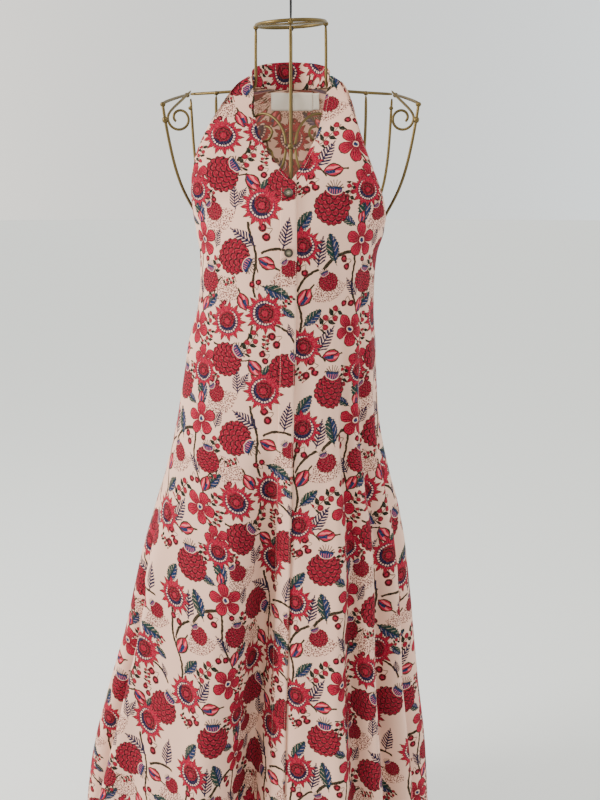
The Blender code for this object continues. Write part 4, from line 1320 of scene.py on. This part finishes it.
def rounded_copy(node, material, swell):
    """A smooth piece from a copy of a wire's solid."""
    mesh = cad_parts[node].data.copy()
    piece = bpy.data.objects.new(node + "_round", mesh)
    bpy.context.scene.collection.objects.link(piece)
    choose(piece)
    bpy.ops.object.mode_set(mode="EDIT")
    bpy.ops.mesh.select_all(action="SELECT")
    bpy.ops.mesh.remove_doubles(threshold=0.00002)
    bpy.ops.mesh.tris_convert_to_quads(face_threshold=1.2, shape_threshold=1.2)
    bpy.ops.transform.shrink_fatten(value=swell)
    bpy.ops.object.mode_set(mode="OBJECT")
    rounding = piece.modifiers.new("rounding", "SUBSURF")
    rounding.levels = 1
    rounding.render_levels = 1
    bpy.ops.object.modifier_apply(modifier="rounding")
    bpy.ops.object.shade_smooth()
    piece.data.materials.clear()
    piece.data.materials.append(material)
    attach(piece, "root")
    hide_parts(node)
    return piece


wire_nodes = sorted(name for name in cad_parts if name.startswith("form_"))
wires = [
    rounded_copy(name, brass, WIRE_SWELL) for name in wire_nodes if name != "form_ring_bar"
]
rounded_copy("hook", black, HOOK_SWELL)
rounded_copy("hook_nut", black, 0.0)
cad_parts["form_ring_bar"].data.materials.clear()
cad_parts["form_ring_bar"].data.materials.append(brass)
print(len(wires), "brass wires")

# %% [markdown]
# Antique brass is a metal whose colour changes slowly along it. Noise mixes a dark brown with a
# warm yellow, and roughens the dark parts.

# %% Brass and black enamel
age = noise_on(brass_tree, 26)
two_tones(brass_tree, brass_shader, age, linear(74, 62, 38), linear(118, 98, 58))
dull = brass_tree.nodes.new("ShaderNodeMapRange")
dull.inputs["To Min"].default_value = 0.50
dull.inputs["To Max"].default_value = 0.36
brass_tree.links.new(age.outputs["Fac"], dull.inputs["Value"])
brass_tree.links.new(dull.outputs[0], brass_shader.inputs["Roughness"])
brass_shader.inputs["Metallic"].default_value = 0.9
two_tones(black_tree, black_shader, noise_on(black_tree, 90), linear(6, 6, 7), linear(18, 17, 17))
black_shader.inputs["Roughness"].default_value = 0.55
black_shader.inputs["Specular IOR Level"].default_value = 0.25
print("metals ready")

# %% [markdown]
# Where wires meet they are brazed, and the flow of braze leaves a small smooth lump. Each lump is
# a ball, drawn out a little to the left and right and sunk into both wires.

# %% Brazed joints


def ball(name, place, size, segments=16):
    bpy.ops.object.select_all(action="DESELECT")
    bpy.ops.mesh.primitive_uv_sphere_add(segments=segments, ring_count=segments // 2, radius=1)
    piece = bpy.context.object
    piece.name = name
    bpy.ops.object.mode_set(mode="EDIT")
    bpy.ops.mesh.select_all(action="SELECT")
    bpy.ops.transform.resize(value=size)
    bpy.ops.transform.translate(value=place)
    bpy.ops.object.mode_set(mode="OBJECT")
    bpy.ops.object.shade_smooth()
    return piece


BRAZE_FLOW = 0.0004  # added to the radius of every lump
joints = []
for sign in (-1, 1):
    joints += [
        ((sign * 0.1640, 0.0480, -0.2140), 0.0034),
        ((sign * 0.1870, -0.0500, -0.2385), 0.0032),
        ((sign * 0.0520, 0.0, -0.1225 + sign * 0.0026), 0.0032),
        ((sign * 0.1150, 0.0170, -0.2150), 0.0030),
        ((sign * 0.1480, -0.0420, -0.2430), 0.0024),
    ]
joints += [((0.0, -0.0530, -0.1280), 0.0030), ((0.0, 0.0530, -0.1170), 0.0030)]
lumps = []
for number, (place, radius) in enumerate(joints):
    radius += BRAZE_FLOW
    lumps.append(ball(f"braze_{number}", place, (radius * 1.15, radius, radius)))
choose(*lumps)
bpy.ops.object.join()
braze = bpy.context.object
braze.name = "brazed_joints"
braze.data.materials.append(brass)
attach(braze, "root")
print(len(joints), "brazed joints")

# %% [markdown]
# The buttons are turned from dark shell, with a raised rim, a paler dished middle and two holes.
# Each is a disc whose top face is inset and pushed down in edit mode. The holes are drilled with
# Boolean modifiers, and thread crosses from one to the other. They sit on the placket, turned to
# lie flat on it.

# %% Shell for the buttons
rim_shell, rim_tree, rim_shader = new_material("dark_shell")
dish_shell, dish_tree, dish_shader = new_material("pale_shell")
for tree, shader, dark, light in (
    (rim_tree, rim_shader, linear(20, 14, 8), linear(58, 44, 28)),
    (dish_tree, dish_shader, linear(70, 64, 44), linear(138, 132, 106)),
):
    two_tones(tree, shader, noise_on(tree, 420, 1.5), dark, light)
    shader.inputs["Roughness"].default_value = 0.28
print("shell materials ready")

# %% Buttons
BUTTON_RADIUS = 0.0065
BUTTON_THICKNESS = 0.0026
BUTTON_Z = (-0.3645, -0.4485)
HOLE_RADIUS = 0.0008
HOLE_X = 0.0016
STRAND_RADIUS, STRAND_LENGTH, STRAND_APART, STRAND_UP = 0.00022, 0.0036, 0.00036, 0.00066


def faces_up(piece, lowest, widest):
    """Selects the faces that look up, above a height and within a distance of the axis."""
    bm = bmesh.from_edit_mesh(piece.data)
    for face in bm.faces:
        centre = face.calc_center_median()
        flat = face.normal.z > 0.9 and centre.z > lowest
        face.select_set(flat and math.hypot(centre.x, centre.y) < widest)
    bm.select_flush_mode()
    bmesh.update_edit_mesh(piece.data)


def drill(piece, x):
    """A hole through a button, made with a Boolean modifier."""
    bpy.ops.object.select_all(action="DESELECT")
    bpy.ops.mesh.primitive_cylinder_add(
        vertices=16, radius=HOLE_RADIUS, depth=0.01, location=(x, 0, 0)
    )
    bit = bpy.context.object
    hole = piece.modifiers.new("hole", "BOOLEAN")
    hole.object = bit
    hole.solver = "EXACT"
    choose(piece)
    bpy.ops.object.modifier_apply(modifier="hole")
    bpy.data.objects.remove(bit)


def turned_button(name):
    bpy.ops.object.select_all(action="DESELECT")
    bpy.ops.mesh.primitive_cylinder_add(
        vertices=48, radius=BUTTON_RADIUS, depth=BUTTON_THICKNESS, location=(0, 0, 0)
    )
    piece = bpy.context.object
    piece.name = name
    piece.data.materials.append(rim_shell)
    piece.data.materials.append(dish_shell)
    bpy.ops.object.mode_set(mode="EDIT")
    bpy.ops.mesh.select_mode(type="FACE")
    bpy.ops.mesh.select_all(action="DESELECT")
    faces_up(piece, 0, 0.001)
    bpy.ops.mesh.inset(thickness=0.0005)
    bpy.ops.transform.translate(value=(0, 0, 0.0002))
    bpy.ops.mesh.inset(thickness=0.0020)
    bpy.ops.mesh.inset(thickness=0.0004)
    bpy.ops.transform.translate(value=(0, 0, -0.0009))
    piece.active_material_index = 1
    bpy.ops.object.material_slot_assign()
    bpy.ops.mesh.inset(thickness=0.0016)
    bpy.ops.transform.translate(value=(0, 0, -0.0002))
    bpy.ops.object.mode_set(mode="OBJECT")
    drill(piece, -HOLE_X)
    drill(piece, HOLE_X)
    edge = piece.modifiers.new("edge", "BEVEL")
    edge.width = 0.00018
    edge.segments = 2
    edge.limit_method = "ANGLE"
    bpy.ops.object.modifier_apply(modifier="edge")
    bpy.ops.object.shade_smooth_by_angle(angle=math.radians(40))
    return piece


def thread_between(name):
    """Three strands from one hole to the other, bent down into the holes at their ends."""
    strands = []
    for k in (-1, 0, 1):
        bpy.ops.object.select_all(action="DESELECT")
        place = (0, k * STRAND_APART, STRAND_UP)
        bpy.ops.mesh.primitive_cylinder_add(
            vertices=8, radius=STRAND_RADIUS, depth=STRAND_LENGTH, location=place
        )
        strand = bpy.context.object
        bpy.ops.object.mode_set(mode="EDIT")
        bpy.ops.transform.rotate(value=math.radians(90), orient_axis="Y", center_override=place)
        bpy.ops.mesh.subdivide(number_cuts=4)
        bm = bmesh.from_edit_mesh(strand.data)
        for vert in bm.verts:
            vert.co.z -= max(0.0, abs(vert.co.x + strand.location.x) - 0.0012) * 1.5
        bmesh.update_edit_mesh(strand.data)
        bpy.ops.object.mode_set(mode="OBJECT")
        strands.append(strand)
    choose(*strands)
    bpy.ops.object.join()
    piece = bpy.context.object
    piece.name = name
    bpy.ops.object.transform_apply()
    bpy.ops.object.shade_smooth()
    return piece


strip_tree = surface_of([strip_rows])
thread, thread_tree, thread_shader = new_material("sewing_thread")
twist = noise_on(thread_tree, 900)
two_tones(thread_tree, thread_shader, twist, linear(196, 160, 138), linear(228, 200, 180))
thread_shader.inputs["Roughness"].default_value = 0.7
for number, z in enumerate(BUTTON_Z, 1):
    x = at(BODY, "lap", 0) - LAP / 2
    hit, normal = straight_back(strip_tree, x, z)
    button = turned_button(f"button_{number}_turned")
    crossing = thread_between(f"button_{number}_thread")
    crossing.data.materials.append(thread)
    turn = normal.to_track_quat("Z", "Y").to_euler()
    for piece in (button, crossing):
        piece.rotation_euler = turn
        piece.location = hit + normal * (BUTTON_THICKNESS / 2 + 0.0004)
        choose(piece)
        bpy.ops.object.transform_apply()
        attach(piece, "root")
    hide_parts(f"button_{number}")
    print("button", number, "at", [round(v, 4) for v in hit])

# %% [markdown]
# Stitching. A row of stitches is one small shape, a thread's hump about 2 mm long, repeated along a line
# on the cloth. The line is walked in steps of a stitch, and at each step the shape is turned along
# the line and away from the cloth. There are nearly two thousand, so the shape has few faces.

# %% Stitching


def line_beside_edge(rows, turned_over, inset, outer_end, first, last):
    """Points and directions a fixed way in from one end of each row."""
    normals = net_normals(rows, turned_over)
    line = []
    for i in range(first, last):
        order = list(range(len(rows[i])))
        if outer_end:
            order = order[::-1]
        away = 0.0
        for a, b in zip(order, order[1:]):
            step = (rows[i][b] - rows[i][a]).length
            if away + step >= inset:
                share = (inset - away) / max(step, 1e-9)
                line.append((rows[i][a].lerp(rows[i][b], share), normals[i][a]))
                break
            away += step
    return line


def stitches_along(line, pitch, length, radius, points, faces):
    """Adds stitches to lists of points and faces."""
    away = 0.0
    for (a, out_a), (b, _) in zip(line, line[1:]):
        run = b - a
        while away < run.length:
            centre = a + run.normalized() * away
            along = run.normalized()
            aside = along.cross(out_a).normalized()
            out = aside.cross(along)
            base = len(points)
            for share, size in ((-0.5, 0.35), (-0.22, 1.0), (0.22, 1.0), (0.5, 0.35)):
                ring = centre + along * (share * length) + out * (radius * (size - 0.6))
                for side, lift in ((-1, 0), (0, 1), (1, 0), (0, -1)):
                    points.append(ring + (aside * side + out * lift) * radius * size)
            for k in range(3):
                for m in range(4):
                    n = (m + 1) % 4
                    corner = base + 4 * k
                    faces.append((corner + m, corner + n, corner + 4 + n, corner + 4 + m))
            faces.append((base + 3, base + 2, base + 1, base))
            faces.append((base + 12, base + 13, base + 14, base + 15))
            away += pitch
        away -= run.length


IN_FROM_EDGE = TURNED - 0.0014
STRIP_INSET = 0.0018
STITCH = (0.0030, 0.0021, 0.00024)  # pitch, length and radius
HEM_STITCH = (0.0036, 0.0026, 0.00026)
HEM_STITCH_UP = 0.0175  # just inside the hem's turning
STITCH_FACES = 14
points, faces = [], []
lines = [
    (strip_rows, True, STRIP_INSET, False, 0, len(strip_rows)),
    (strip_rows, True, STRIP_INSET, True, 0, len(strip_rows)),
    (right_rows, True, IN_FROM_EDGE, True, 4, TOP_COUNT - 6),
    (left_rows, False, IN_FROM_EDGE, True, 4, TOP_COUNT - 6),
    (right_rows, True, IN_FROM_EDGE, False, 8, V_ROW * TOP_STEPS - 4),
    (left_rows, False, IN_FROM_EDGE, False, 8, V_ROW * TOP_STEPS - 2),
    (back_halves[0], False, IN_FROM_EDGE, True, 4, TOP_COUNT - 6),
    (back_halves[1], True, IN_FROM_EDGE, True, 4, TOP_COUNT - 6),
]
for rows, turned_over, inset, outer_end, first, last in lines:
    line = line_beside_edge(rows, turned_over, inset, outer_end, first, last)
    stitches_along(line, *STITCH, points, faces)
for rows, turned_over in (
    (right_rows, True), (left_rows, False), (back_halves[0], False), (back_halves[1], True)
):
    normals = net_normals(rows, turned_over)
    level = min(range(len(rows)), key=lambda i: abs(rows[i][0].z - HEM_Z - HEM_STITCH_UP))
    line = list(zip(rows[level][LAP_COLUMNS + 1 :], normals[level][LAP_COLUMNS + 1 :]))
    stitches_along(line, *HEM_STITCH, points, faces)
band_normals = net_normals(band_rows, False)
line = list(zip(band_rows[LEVELS - 2], band_normals[LEVELS - 2]))
stitches_along([(p, -n) for p, n in line], *STITCH, points, faces)
mesh = bpy.data.meshes.new("stitching")
mesh.from_pydata(points, [], faces)
stitching = bpy.data.objects.new("stitching", mesh)
bpy.context.scene.collection.objects.link(stitching)
choose(stitching)
bpy.ops.object.mode_set(mode="EDIT")
bpy.ops.mesh.select_all(action="SELECT")
bpy.ops.mesh.normals_make_consistent(inside=False)
bpy.ops.object.mode_set(mode="OBJECT")
bpy.ops.object.shade_smooth()
mesh.materials.append(thread)
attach(stitching, "root")
print(len(faces) // STITCH_FACES, "stitches")

# %% [markdown]
# As a panel isn't a rectangle, each cloth piece's area is measured on its net. The flat sizes
# were typed, and those of the panels are too small: measured along its folds, the right front is
# 0.636 by 1.445 m, the left 0.540 by 1.436 m and the back 1.017 by 1.487 m. The placket is a 24 mm
# strip 1.22 m long, whose size was raised until it held the area of its net, which the deep
# creases stretch.

# %% Areas of the nets
net_area(right_rows)
net_area(left_rows)
sum(net_area(half) for half in back_halves)
net_area(band_rows)
net_area(strip_rows)
